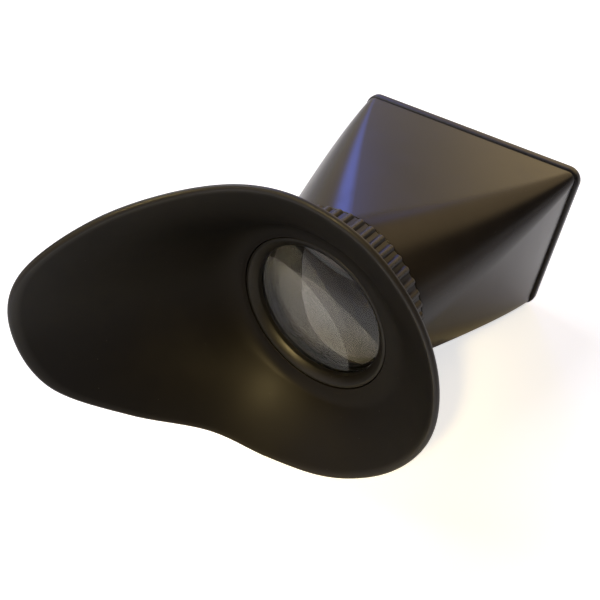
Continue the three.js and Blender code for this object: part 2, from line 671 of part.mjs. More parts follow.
/** Sliding eyepiece: barrel, lenses, their rings and the guide pins. */
function eyepieceGroup() {
  const group = new THREE.Group();
  group.add(
    piece('lens_barrel', lensBarrel(), 'barrel'),
    piece('front_lens', frontLens(), 'glass'),
    piece('lens_spacer', lensSpacer(), 'barrel'),
    piece('rear_lens', rearLens(), 'glass'),
    piece('rear_lens_ring', rearLensRing(), 'barrel'),
    piece('eye_ring', eyeRing(), 'trim'),
    piece('wave_washer', waveWasher(), 'steel'));
  for (let pin = 0; pin < PIN_COUNT; pin += 1) {
    group.add(piece(`guide_pin_${pin + 1}`, guidePin(pin), 'steel'));
  }
  return group;
}

/** Turning eyecup: the rubber moulding on its stiff collar. */
function eyecupGroup() {
  const group = new THREE.Group();
  group.add(piece('eyecup', eyecup(), 'rubber'), piece('eyecup_collar', eyecupCollar(), 'barrel'));
  return group;
}

/** Angle at which the viewfinder lies, on the frame's rear edge and the eyecup's rim. */
function restAngle(cup) {
  const place = new THREE.Vector3();
  const positions = cup.geometry.attributes.position;
  let angle = 0;
  for (let vertex = 0; vertex < positions.count; vertex += 1) {
    place.fromBufferAttribute(positions, vertex);
    angle = Math.max(angle, Math.atan2(-place.y - frameHeight / 2, place.z));
  }
  return angle;
}

const cup = eyecupGroup();
const optics = new THREE.Group();
optics.add(hoodGroup(), piece('focus_ring', focusRing(), 'ring'), eyepieceGroup(), cup);
optics.rotation.x = Math.PI / 2 - restAngle(cup.getObjectByName('eyecup'));

const viewfinder = new THREE.Group();
viewfinder.add(optics);
viewfinder.updateMatrixWorld(true);
const extent = new THREE.Box3().setFromObject(optics, true);
const middle = extent.getCenter(new THREE.Vector3());
optics.position.set(-middle.x, -middle.y, -extent.min.z);

export default viewfinder;
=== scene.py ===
"""A magnifying screen viewfinder: tapering hood, ribbed focus ring, lenses and winged rubber eyecup.

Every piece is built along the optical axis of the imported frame, in metres: x across the screen, y up
it, and z from the screen frame's rear plane towards the eye. It is then laid into the row frame, where
the viewfinder rests on a table on the frame's lower edge and the eyecup's rim.
"""

import json
import logging
import math
from collections.abc import Sequence
from dataclasses import dataclass
from enum import Enum
from functools import cache

import bmesh
import bpy
import numpy as np
from mathutils import Matrix, Vector

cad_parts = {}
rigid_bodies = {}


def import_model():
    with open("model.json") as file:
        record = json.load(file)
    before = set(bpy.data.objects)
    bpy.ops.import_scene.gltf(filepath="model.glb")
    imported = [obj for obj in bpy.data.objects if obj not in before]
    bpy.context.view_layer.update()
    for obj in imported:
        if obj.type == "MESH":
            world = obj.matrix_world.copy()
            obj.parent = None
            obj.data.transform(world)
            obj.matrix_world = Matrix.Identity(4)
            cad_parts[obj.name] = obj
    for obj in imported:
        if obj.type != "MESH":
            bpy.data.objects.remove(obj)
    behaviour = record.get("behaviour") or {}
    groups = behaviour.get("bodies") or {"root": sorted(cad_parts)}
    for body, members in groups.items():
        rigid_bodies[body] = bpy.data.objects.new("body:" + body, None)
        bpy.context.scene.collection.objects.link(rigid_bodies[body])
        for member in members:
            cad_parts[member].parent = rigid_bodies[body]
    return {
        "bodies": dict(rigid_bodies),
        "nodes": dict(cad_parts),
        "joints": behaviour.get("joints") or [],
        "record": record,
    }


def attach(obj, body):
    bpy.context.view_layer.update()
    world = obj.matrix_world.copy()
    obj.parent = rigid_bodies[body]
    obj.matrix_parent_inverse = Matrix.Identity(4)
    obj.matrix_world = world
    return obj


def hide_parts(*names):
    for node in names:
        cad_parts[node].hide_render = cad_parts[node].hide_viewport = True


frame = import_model()
log = logging.getLogger("viewfinder")

MM = 0.001
Colour = tuple[float, float, float]
Point = tuple[float, float, float]
# Half width, half height, corner radius and place on the axis
Ring = tuple[float, float, float, float]

# Steps of the curves: a turned piece, a quarter of an outline, a softened corner, a lens's dome
TURN_STEPS = 192
QUARTER_STEPS = TURN_STEPS // 4
SOFT_STEPS = 4
DOME_STEPS = 20
# Points on each straight side of an outline, as shares of the side
SIDE_SHARES = (0.015, 0.06, 0.2, 0.4, 0.6, 0.8, 0.94, 0.985)
# Points closer than this are one point
WELD = 0.002 * MM
SHARP_ANGLE = math.radians(38)
# Share of a profile's side that one rounding may take up
ROUND_SHARE = 0.48
# How far carving solids stand out past what they cut, and what keeps their faces off its faces
SPARE = 1 * MM
OFFSET = 0.02 * MM
# Clearance of what is pressed, glued or moulded in, and how far the eyepiece slides each way
SEAT_GAP = 0.15 * MM
FOCUS_TRAVEL = 1.5 * MM
# Edges that are rounded on CAD shapes: of magnets, of screws and of small turned pieces
MAGNET_EDGE = 0.15 * MM
SCREW_EDGE = 0.1 * MM
FINE_EDGE = 0.08 * MM
# Numbers of the pieces that come several times
MAGNETS = range(1, 9)
SCREWS = range(1, 5)
PINS = range(1, 4)
# How much the finer layers of noise show, and the range of it that even clouds are spread over
NOISE_ROUGHNESS = 0.55
EVEN = (0.3, 0.7)
# Numbers that a piece's points may carry: how rubbed they are (on the eyecup's lip also how much painted
# highlight it gets), and whether they face inwards
RUB = "rub"
INSIDE = "inside"


class Socket(Enum):
    """Sockets of the Mix node that colours use."""

    FACTOR = 0
    FIRST = 6
    SECOND = 7
    RESULT = 2


class Carve(Enum):
    """Ways in which one solid changes another."""

    CUT = "DIFFERENCE"
    JOIN = "UNION"
    KEEP = "INTERSECT"


@dataclass(frozen=True)
class Signal:
    """Number on a node's socket that takes part in Python sums.

    Args:
        shader: The node tree that the sums add their nodes to.
        socket: The output that carries the number.
    """

    shader: "Shader"
    socket: bpy.types.NodeSocket

    def __add__(self, other: "Signal | float") -> "Signal":
        """Sum."""
        return self.shader.math("ADD", self, other)

    __radd__ = __add__

    def __rsub__(self, other: "Signal | float") -> "Signal":
        """Difference from a plain number."""
        return self.shader.math("SUBTRACT", other, self)

    def __mul__(self, other: "Signal | float") -> "Signal":
        """Product."""
        return self.shader.math("MULTIPLY", self, other)

    __rmul__ = __mul__

    def or_more(self, other: "Signal | float") -> "Signal":
        """The larger of two numbers."""
        return self.shader.math("MAXIMUM", self, other)

    def between(self, low: float, high: float) -> "Signal":
        """Share of the way from low to high, eased at both ends and held to 0 and 1.

        Args:
            low: Number that gives 0.
            high: Number that gives 1.

        Returns:
            The eased share.
        """
        settings = {"interpolation_type": "SMOOTHSTEP"}
        inputs = {"Value": self, "From Min": low, "From Max": high}
        return self.shader.signal("ShaderNodeMapRange", "Result", settings, inputs)


Feed = Signal | bpy.types.NodeSocket | float | Sequence[float]


class Shader:
    """Node tree of a material or of the world."""

    def __init__(self, owner: bpy.types.Material | bpy.types.World) -> None:
        """Clears the owner's tree.

        Args:
            owner: The material or world whose nodes are made.
        """
        owner.use_nodes = True
        self.tree = owner.node_tree
        self.tree.nodes.clear()

    def node(self, kind: str, settings: dict[str, object] | None = None,
             inputs: dict[str | int, Feed] | None = None) -> bpy.types.Node:
        """Adds a node.

        Args:
            kind: The node's type.
            settings: Its settings, which are set first.
            inputs: Values or links of its sockets, by name or number.

        Returns:
            The node.
        """
        made = self.tree.nodes.new(kind)
        for key, value in (settings or {}).items():
            setattr(made, key, value)
        for key, value in (inputs or {}).items():
            socket = value.socket if isinstance(value, Signal) else value
            if isinstance(socket, bpy.types.NodeSocket):
                self.tree.links.new(socket, made.inputs[key])
            elif made.inputs[key].type == "RGBA":
                made.inputs[key].default_value = (*socket, 1)
            else:
                made.inputs[key].default_value = socket
        return made

    def signal(self, kind: str, output: str, settings: dict[str, object] | None = None,
               inputs: dict[str | int, Feed] | None = None) -> Signal:
        """Adds a node and takes the number from one of its outputs."""
        return Signal(self, self.node(kind, settings, inputs).outputs[output])

    def math(self, operation: str, first: Feed, second: Feed) -> Signal:
        """Adds one sum on numbers."""
        return self.signal("ShaderNodeMath", "Value", {"operation": operation}, {0: first, 1: second})

    def mix(self, factor: Feed, first: Feed, second: Feed) -> bpy.types.NodeSocket:
        """Mixes two colours.

        Args:
            factor: Share of the second colour.
            first: Colour at 0.
            second: Colour at 1.

        Returns:
            The socket with the mixed colour.
        """
        inputs = {Socket.FACTOR.value: factor, Socket.FIRST.value: first, Socket.SECOND.value: second}
        node = self.node("ShaderNodeMix", {"data_type": "RGBA"}, inputs)
        return node.outputs[Socket.RESULT.value]

    def place(self) -> bpy.types.NodeSocket:
        """Place on the piece itself, so that a pattern moves with it."""
        return self.node("ShaderNodeTexCoord").outputs["Object"]

    def noise(self, size: float, detail: float = 2, stretch: Point = (1, 1, 1)) -> Signal:
        """Clouds of noise.

        Args:
            size: Length of one cloud in metres.
            detail: Finer layers on top.
            stretch: Factors on the three directions.

        Returns:
            Noise around one half.
        """
        scaled = self.node("ShaderNodeVectorMath", {"operation": "MULTIPLY"}, {0: self.place(), 1: stretch})
        inputs = {"Vector": scaled.outputs["Vector"], "Scale": 1 / size, "Detail": detail,
                  "Roughness": NOISE_ROUGHNESS}
        return self.signal("ShaderNodeTexNoise", "Fac", None, inputs)

    def cells(self, size: float) -> tuple[Signal, bpy.types.NodeSocket]:
        """Distance from the middle of the nearest cell, and that cell's colour."""
        node = self.node("ShaderNodeTexVoronoi", None, {"Vector": self.place(), "Scale": 1 / size})
        return Signal(self, node.outputs["Distance"]), node.outputs["Color"]

    def specks(self, size: float, share: float) -> Signal:
        """Sparse round specks, such as dust.

        Args:
            size: Distance between the cells that may hold a speck, in metres.
            share: Radius of a speck as a share of its cell.

        Returns:
            1 in a speck, 0 elsewhere.
        """
        away, colour = self.cells(size)
        chosen = self.signal("ShaderNodeSeparateColor", "Red", None, {"Color": colour})
        return (1 - away.between(0.4 * share, share)) * chosen.between(0.72, 0.78)

    def attribute(self, name: str) -> Signal:
        """Number that a piece's points carry, 0 where they carry none."""
        return self.signal("ShaderNodeAttribute", "Fac", {"attribute_name": name})

    def bump(self, height: Signal, depth: float) -> bpy.types.NodeSocket:
        """Surface relief from heights around one half, with its depth in metres."""
        node = self.node("ShaderNodeBump", None, {"Height": height, "Distance": depth, "Strength": 1})
        return node.outputs["Normal"]

    def finish(self, inputs: dict[str | int, Feed]) -> None:
        """Ends a material in one main shader with these sockets."""
        shader = self.node("ShaderNodeBsdfPrincipled", None, inputs)
        self.node("ShaderNodeOutputMaterial", None, {"Surface": shader.outputs["BSDF"]})


@dataclass(frozen=True)
class Finish:
    """What every surface has: the record's slot, which names its material, and its main look.

    Args:
        slot: The record's slot.
        colour: Main colour.
        roughness: Main roughness.
        sheen: Strength of its mirroring, 0.5 as for most plastics.
    """

    slot: str
    colour: Colour
    roughness: float
    sheen: float = 0.5

    def paint(self, shader: Shader) -> None:
        """Adds this finish's nodes."""
        raise NotImplementedError

    def shade(self, lift: float) -> Colour:
        """The main colour, made lighter or darker by a factor."""
        return tuple(min(1.0, channel * lift) for channel in self.colour)


@dataclass(frozen=True)
class MouldedPlastic(Finish):
    """Dark moulded plastic: orange-peel skin, smudged gloss, dust, rubbed edges and a matte inside.

    Args:
        peel: Depth of the skin's waves.
        peel_size: Length of the skin's waves.
        smudge: How much rougher a smudge is.
        dust: Strength of the dust.
        dust_colour: Colour of the dust.
        rubbed: Colour of the rubbed edges.
        tint: How much lighter and darker than the main colour its clouds are.
        dim: Shade of the inside.
        matte: How much rougher the inside is.
    """

    peel: float = 0.004 * MM
    peel_size: float = 0.9 * MM
    smudge: float = 0.1
    dust: float = 0.25
    dust_colour: Colour = (0.3, 0.29, 0.27)
    rubbed: Colour = (0.09, 0.085, 0.08)
    tint: float = 0.14
    dim: float = 0.6
    matte: float = 0.3

    def paint(self, shader: Shader) -> None:
        """Adds the plastic's nodes."""
        clouds = shader.noise(14 * MM, detail=4).between(*EVEN)
        hand = shader.noise(9 * MM, detail=3, stretch=(1, 1, 0.45)).between(0.5, 0.72)
        grain = shader.noise(0.35 * MM, detail=3)
        edge = shader.attribute(RUB) * grain.between(0.35, 0.6)
        inside = shader.attribute(INSIDE)
        tone = shader.mix(clouds, self.shade(1 - self.tint), self.shade(1 + self.tint))
        worn = shader.mix(inside, shader.mix(edge * 0.6, tone, self.rubbed), self.shade(self.dim))
        dusty = shader.mix(shader.specks(1.6 * MM, share=0.07) * self.dust, worn, self.dust_colour)
        rough = self.roughness + self.smudge * hand + 0.06 * grain + 0.12 * edge + self.matte * inside
        relief = (shader.noise(self.peel_size) + 0.06 * shader.noise(0.16 * MM)) * (1 - inside)
        shader.finish({"Base Color": dusty, "Roughness": rough, "Specular IOR Level": self.sheen,
                       "Normal": shader.bump(relief, self.peel)})


@dataclass(frozen=True)
class SoftRubber(Finish):
    """Matte moulded rubber: fine grain, a bloom of lighter haze, lint, and a lip polished by hands and
    painted lighter as a highlight.

    Args:
        bloom: Colour of the haze.
        lip: Colour of the lip, lighter than the rubber: handling wear and a painted highlight along the
            rim.
        lint: Colour of the lint.
        polish: Strength of the lip's gloss.
        polish_roughness: Roughness of that gloss.
        grain: Depth of the grain.
    """

    bloom: Colour = (0.009, 0.008, 0.007)
    lip: Colour = (0.015, 0.0135, 0.0125)
    lint: Colour = (0.28, 0.27, 0.25)
    polish: float = 0.5
    polish_roughness: float = 0.38
    grain: float = 0.012 * MM

    def paint(self, shader: Shader) -> None:
        """Adds the rubber's nodes."""
        haze = shader.noise(22 * MM, detail=5).between(0.45, 0.75)
        grain = shader.noise(0.22 * MM, detail=3)
        edge = shader.attribute(RUB)
        tone = shader.mix(haze * 0.5, self.colour, self.bloom)
        # The lip's lighter colour is a painted highlight along the rim as well as handling wear
        lip_wear_and_highlight = shader.mix(edge * 0.75, tone, self.lip)
        linted = shader.mix(shader.specks(2.6 * MM, share=0.045) * 0.4, lip_wear_and_highlight, self.lint)
        rough = self.roughness + 0.1 * haze + 0.05 * edge + 0.05 * grain
        relief = grain + 0.6 * shader.noise(1.1 * MM)
        shader.finish({"Base Color": linted, "Roughness": rough, "Specular IOR Level": self.sheen,
                       "Coat Weight": edge * self.polish, "Coat Roughness": self.polish_roughness,
                       "Normal": shader.bump(relief, self.grain)})


@dataclass(frozen=True)
class FoamRubber(Finish):
    """Dense matte foam with open pores, painted darker inside as shade.

    Args:
        pore: Distance between the pores.
        depth: Depth of the pores.
    """

    pore: float = 0.28 * MM
    depth: float = 0.06 * MM

    def paint(self, shader: Shader) -> None:
        """Adds the foam's nodes."""
        wall = shader.cells(self.pore)[0].between(0.15, 0.6)
        clouds = shader.noise(4 * MM, detail=4)
        tone = shader.mix(clouds.between(*EVEN), self.shade(0.8), self.shade(1.5))
        # Pores painted darker: painted shade inside the pores
        colour = shader.mix(1 - wall, tone, self.shade(0.3))
        relief = shader.bump(wall + 0.4 * clouds, self.depth)
        shader.finish({"Base Color": colour, "Roughness": self.roughness + 0.05 * clouds, "Normal": relief})


@dataclass(frozen=True)
class LensGlass(Finish):
    """Polished clear glass with a few specks of dust.

    Args:
        index: Refractive index.
        dust_colour: Colour of the dust.
    """

    index: float = 1.52
    dust_colour: Colour = (0.5, 0.48, 0.45)

    def paint(self, shader: Shader) -> None:
        """Adds the glass's nodes."""
        dust = shader.specks(2.2 * MM, share=0.05)
        colour = shader.mix(dust * 0.35, self.colour, self.dust_colour)
        shader.finish({"Base Color": colour, "Roughness": self.roughness + 0.12 * dust, "IOR": self.index,
                       "Transmission Weight": 1.0})


@dataclass(frozen=True)
class PlatedMetal(Finish):
    """Plated or turned metal with fine scratches.

    Args:
        scratch: Depth of the scratches.
    """

    scratch: float = 0.003 * MM

    def paint(self, shader: Shader) -> None:
        """Adds the metal's nodes."""
        lines = shader.noise(0.3 * MM, detail=3, stretch=(0.1, 1, 1))
        stain = shader.noise(3 * MM, detail=4).between(0.4, 0.75)
        colour = shader.mix(stain * 0.5, self.colour, self.shade(0.7))
        rough = self.roughness + 0.12 * lines + 0.1 * stain
        shader.finish({"Base Color": colour, "Roughness": rough, "Metallic": 1.0,
                       "Normal": shader.bump(lines, self.scratch)})


HOOD_PLASTIC = MouldedPlastic("hood_plastic", (0.02, 0.017, 0.0145), 0.2, 0.36, peel=0.0025 * MM,
                              smudge=0.03)
FRAME_PLASTIC = MouldedPlastic("frame_plastic", (0.013, 0.0112, 0.0105), 0.3, 0.36, peel=0.003 * MM,
                               smudge=0.05)
RING_PLASTIC = MouldedPlastic("ring_plastic", (0.016, 0.0145, 0.0145), 0.36, 0.36, peel=0.005 * MM,
                              peel_size=0.4 * MM, smudge=0.06)
BARREL_PLASTIC = MouldedPlastic("barrel_plastic", (0.01, 0.0095, 0.009), 0.5, 0.3, peel=0.006 * MM,
                                peel_size=0.3 * MM, dust=0.15)
TRIM_PLASTIC = MouldedPlastic("trim_plastic", (0.005, 0.0045, 0.0038), 0.41, 0.3, peel=0.002 * MM,
                              peel_size=0.5 * MM, smudge=0.05)
EYECUP_RUBBER = SoftRubber("eyecup_rubber", (0.0035, 0.0028, 0.0024), 0.5, 0.17)
SEAL_RUBBER = FoamRubber("seal_rubber", (0.014, 0.014, 0.014), 0.9)
LENS_GLASS = LensGlass("lens_glass", (0.72, 0.71, 0.67), 0.0)
MAGNET_PLATE = PlatedMetal("magnet", (0.7, 0.69, 0.66), 0.18)
STEEL = PlatedMetal("steel", (0.5, 0.5, 0.5), 0.3)


@cache
def material_of(finish: Finish) -> bpy.types.Material:
    """The one material of a finish."""
    material = bpy.data.materials.new(finish.slot)
    finish.paint(Shader(material))
    return material


class OpticalFrame:
    """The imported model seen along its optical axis."""

    def __init__(self, model: dict) -> None:
        """Finds the axis from the eyecup's joint, and the rear plane from the screen frame.

        Args:
            model: What loading the frame gave.
        """
        joint = next(joint for joint in model["joints"] if joint["name"] == "eyecup_turn")
        self.nodes = model["nodes"]
        self.across = Vector((1, 0, 0))
        self.forward = Vector(joint["axis"]).normalized()
        self.upward = self.forward.cross(self.across)
        self.origin = Vector(joint["pos_m"])
        self.origin = self.origin + self.forward * self.along("screen_frame")[0]
        self.turn = Matrix((self.across, self.upward, self.forward)).transposed()

    def seen(self, node: str) -> np.ndarray:
        """Points of a CAD node, in x, y and z about the axis."""
        places = np.array([vertex.co for vertex in self.nodes[node].data.vertices])
        return (places - np.array(self.origin)) @ np.array((self.across, self.upward, self.forward)).T

    def limits(self, node: str) -> tuple[np.ndarray, np.ndarray]:
        """Lowest and highest x, y and z of a CAD node."""
        places = self.seen(node)
        return places.min(0), places.max(0)

    def along(self, node: str) -> tuple[float, float]:
        """Rear and front of a CAD node on the axis."""
        low, high = self.limits(node)
        return float(low[2]), float(high[2])

    def reach(self, node: str) -> tuple[float, float]:
        """Smallest and largest radius of a CAD node's points."""
        radii = np.hypot(*self.seen(node)[:, :2].T)
        return float(radii.min()), float(radii.max())

    def half_size(self, node: str) -> tuple[float, float]:
        """Half the width and half the height of a CAD node."""
        width, height, _ = np.abs(self.seen(node)).max(0)
        return float(width), float(height)

    def pin(self, number: int) -> tuple[float, float, float]:
        """Angle about the axis, place on it and thickness of a guide pin."""
        low, high = self.limits(f"guide_pin_{number}")
        middle = (low + high) / 2
        return math.atan2(middle[1], middle[0]), float(middle[2]), float(high[2] - low[2])

    def place(self, points: np.ndarray) -> np.ndarray:
        """Points about the axis, moved to the row frame."""
        return points @ np.array(self.turn).T + np.array(self.origin)


def link(name: str, data: bpy.types.ID) -> bpy.types.Object:
    """New object of the scene."""
    made = bpy.data.objects.new(name, data)
    bpy.context.scene.collection.objects.link(made)
    return made


def turned(*corners: tuple[float, float]) -> list[Ring]:
    """Rings of a turned piece from corners given as radius and place."""
    return [(radius, radius, radius, place) for radius, place in corners]


def softened(rings: Sequence[Ring], radius: float | Sequence[float]) -> list[Ring]:
    """Rounds the corners of a closed profile of rings.

    Args:
        rings: The profile's corners in order.
        radius: Size of the rounding, one for all corners or one for each; 0 keeps a corner.

    Returns:
        The longer list of rings.
    """
    corners = np.array(rings, float)
    sizes = np.broadcast_to(radius, len(corners))
    made = []
    for index, (corner, size) in enumerate(zip(corners, sizes)):
        if size <= 0:
            made.append(tuple(corner))
            continue
        arms = []
        for other in (corners[index - 1], corners[(index + 1) % len(corners)]):
            length = math.hypot(other[0] - corner[0], other[3] - corner[3])
            arms.append(corner + (other - corner) * min(size / length, ROUND_SHARE))
        for step in range(SOFT_STEPS + 1):
            share = step / SOFT_STEPS
            made.append(tuple((1 - share) ** 2 * arms[0] + 2 * share * (1 - share) * corner
                              + share ** 2 * arms[1]))
    return made


def outline(ring: Ring) -> np.ndarray:
    """Points of one ring: a rounded rectangle, or a circle where its first three sizes are alike.

    Args:
        ring: Half width, half height, corner radius and place on the axis.

    Returns:
        Points, the same number for every ring.
    """
    half_width, half_height, corner, place = ring
    angles = np.linspace(0, math.pi / 2, QUARTER_STEPS + 1)
    signs = ((1, 1), (-1, 1), (-1, -1), (1, -1))
    arcs = []
    for quarter, (side, level) in enumerate(signs):
        centre = np.array((side * (half_width - corner), level * (half_height - corner)))
        turn = angles + quarter * math.pi / 2
        arcs.append(centre + corner * np.stack((np.cos(turn), np.sin(turn)), 1))
    points = []
    for quarter, arc in enumerate(arcs):
        first, last = arc[-1], arcs[(quarter + 1) % 4][0]
        points.append(arc)
        points.append(np.array([first + (last - first) * share for share in SIDE_SHARES]))
    flat = np.concatenate(points)
    return np.column_stack((flat, np.full(len(flat), place)))


def bent(start: np.ndarray, pull: np.ndarray, end: np.ndarray, steps: int) -> np.ndarray:
    """Points of a curve from start to end that a third point pulls towards itself."""
    shares = np.linspace(0, 1, steps + 1)[:, None]
    return (1 - shares) ** 2 * start + 2 * shares * (1 - shares) * pull + shares ** 2 * end


def polar(radii: np.ndarray | float, angles: np.ndarray | float,
          places: np.ndarray | float) -> np.ndarray:
    """Points about the axis from their radii, angles and places on it."""
    return np.stack(np.broadcast_arrays(radii * np.cos(angles), radii * np.sin(angles), places), -1)


def swung(points: np.ndarray, angle: float) -> np.ndarray:
    """Points turned about the axis."""
    cos, sin = math.cos(angle), math.sin(angle)
    return points @ np.array(((cos, -sin, 0), (sin, cos, 0), (0, 0, 1))).T


def rod(radius: float, ends: tuple[float, float], middle: tuple[float, float],
        steps: int = 32) -> np.ndarray:
    """Rows of a round rod along z, with its two ends and its middle in x and y."""
    angles = np.arange(steps) * 2 * math.pi / steps
    levels = ((ends[0], 0), (ends[0], 1), (ends[1], 1), (ends[1], 0))
    return np.array([polar(radius * share, angles, level) for level, share in levels]) + (*middle, 0)


def skin(name: str, rows: np.ndarray, optics: OpticalFrame, marks: np.ndarray | None = None,
         mark: str = RUB) -> bpy.types.Object:
    """Closed mesh from rows of points, each joined to the next, and the last to the first.

    Args:
        name: The piece's name.
        rows: Rows by points by three numbers, about the optical axis.
        optics: The frame that the rows are laid into.
        marks: A number for each point, in any shape that spreads over the rows.
        mark: What that number says.

    Returns:
        The piece, smooth but for its sharp edges.
    """
    count = rows.shape[1]
    numbers = np.arange(len(rows) * count).reshape(len(rows), count)
    nexts, besides = np.roll(numbers, -1, 0), np.roll(numbers, -1, 1)
    corners = np.roll(nexts, -1, 1)
    faces = np.stack((numbers, besides, corners, nexts), -1).reshape(-1, 4)
    mesh = bpy.data.meshes.new(name)
    mesh.from_pydata(optics.place(rows.reshape(-1, 3)).tolist(), [], faces.tolist())
    if marks is not None:
        values = np.broadcast_to(marks, rows.shape[:2]).astype(np.float32).ravel()
        mesh.attributes.new(mark, "FLOAT", "POINT").data.foreach_set("value", values)
    shape = bmesh.new()
    shape.from_mesh(mesh)
    bmesh.ops.remove_doubles(shape, verts=shape.verts, dist=WELD)
    bmesh.ops.recalc_face_normals(shape, faces=shape.faces)
    shape.to_mesh(mesh)
    shape.free()
    piece = link(name, mesh)
    smooth(piece)
    return piece


def smooth(piece: bpy.types.Object) -> None:
    """Shades a piece smooth up to its sharp edges."""
    piece.data.shade_smooth()
    piece.data.set_sharp_from_angle(angle=SHARP_ANGLE)


def loft(name: str, rings: Sequence[Ring], optics: OpticalFrame, marks: Sequence[float] | None = None,
         mark: str = RUB) -> bpy.types.Object:
    """Closed mesh over a closed profile of rings.

    Args:
        name: The piece's name.
        rings: The rings in order.
        optics: The frame that they are laid into.
        marks: A number for each ring.
        mark: What that number says.

    Returns:
        The piece.
    """
    rows = np.array([outline(ring) for ring in rings])
    column = None if marks is None else np.array(marks, float)[:, None]
    return skin(name, rows, optics, column, mark)


def lathe(name: str, optics: OpticalFrame, edge: float | Sequence[float],
          *corners: tuple[float, float]) -> bpy.types.Object:
    """Turned piece from corners given as radius and place, which are rounded."""
    return loft(name, softened(turned(*corners), edge), optics)


def box(optics: OpticalFrame, size: Point, place: Point, angle: float = 0) -> bpy.types.Object:
    """Block for carving, turned about the axis by an angle after it is placed."""
    half = np.array(size) / 2
    ring = [(-1, -1), (1, -1), (1, 1), (-1, 1)]
    levels = [(-1, 0.0), (-1, 1.0), (1, 1.0), (1, 0.0)]
    points = np.array([[(x * inside, y * inside, level) for x, y in ring] for level, inside in levels])
    return skin("block", swung(points * half + place, angle), optics)


def carve(piece: bpy.types.Object, tools: Sequence[bpy.types.Object], how: Carve) -> None:
    """Changes a piece's mesh by other solids, which are then deleted.

    Args:
        piece: The piece to change.
        tools: The solids.
        how: Whether they are cut away, joined or kept.
    """
    for tool in tools:
        change = piece.modifiers.new("carve", "BOOLEAN")
        change.operation = how.value
        change.solver = "EXACT"
        change.object = tool
        graph = bpy.context.evaluated_depsgraph_get()
        mesh = bpy.data.meshes.new_from_object(piece.evaluated_get(graph))
        piece.modifiers.clear()
        old = piece.data
        piece.data = mesh
        bpy.data.meshes.remove(old)
        bpy.data.objects.remove(tool)
    smooth(piece)


def coat(piece: bpy.types.Object, finish: Finish) -> None:
    """Gives a piece one finish."""
    piece.data.materials.clear()
    piece.data.materials.append(material_of(finish))


def seat(piece: bpy.types.Object, body: str, finish: Finish, *nodes: str) -> None:
    """Dresses a piece, weighs its normals by face, and lets it ride on its body in place of CAD nodes.

    Args:
        piece: The piece, in place.
        body: The CAD body that carries it.
        finish: Its finish.
        *nodes: CAD nodes that it stands for.
    """
    coat(piece, finish)
    normals = piece.modifiers.new("weighted", "WEIGHTED_NORMAL")
    normals.keep_sharp = True
    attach(piece, body)
    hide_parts(*nodes)
    log.info("%s: %d faces, rides on %s", piece.name, len(piece.data.polygons), body)


def dress(optics: OpticalFrame, node: str, finish: Finish, edge: float) -> None:
    """Gives a CAD node that keeps its shape a finish and fine rounded edges.

    Args:
        optics: The frame that holds the node.
        node: The node's name.
        finish: Its finish.
        edge: Width of the rounding.
    """
    piece = optics.nodes[node]
    coat(piece, finish)
    if edge > 0:
        rounding = piece.modifiers.new("edges", "BEVEL")
        rounding.width = edge
        rounding.segments = 2
        rounding.limit_method = "ANGLE"
        rounding.angle_limit = SHARP_ANGLE
        rounding.harden_normals = True
    smooth(piece)
    log.info("%s: CAD shape, dressed", node)


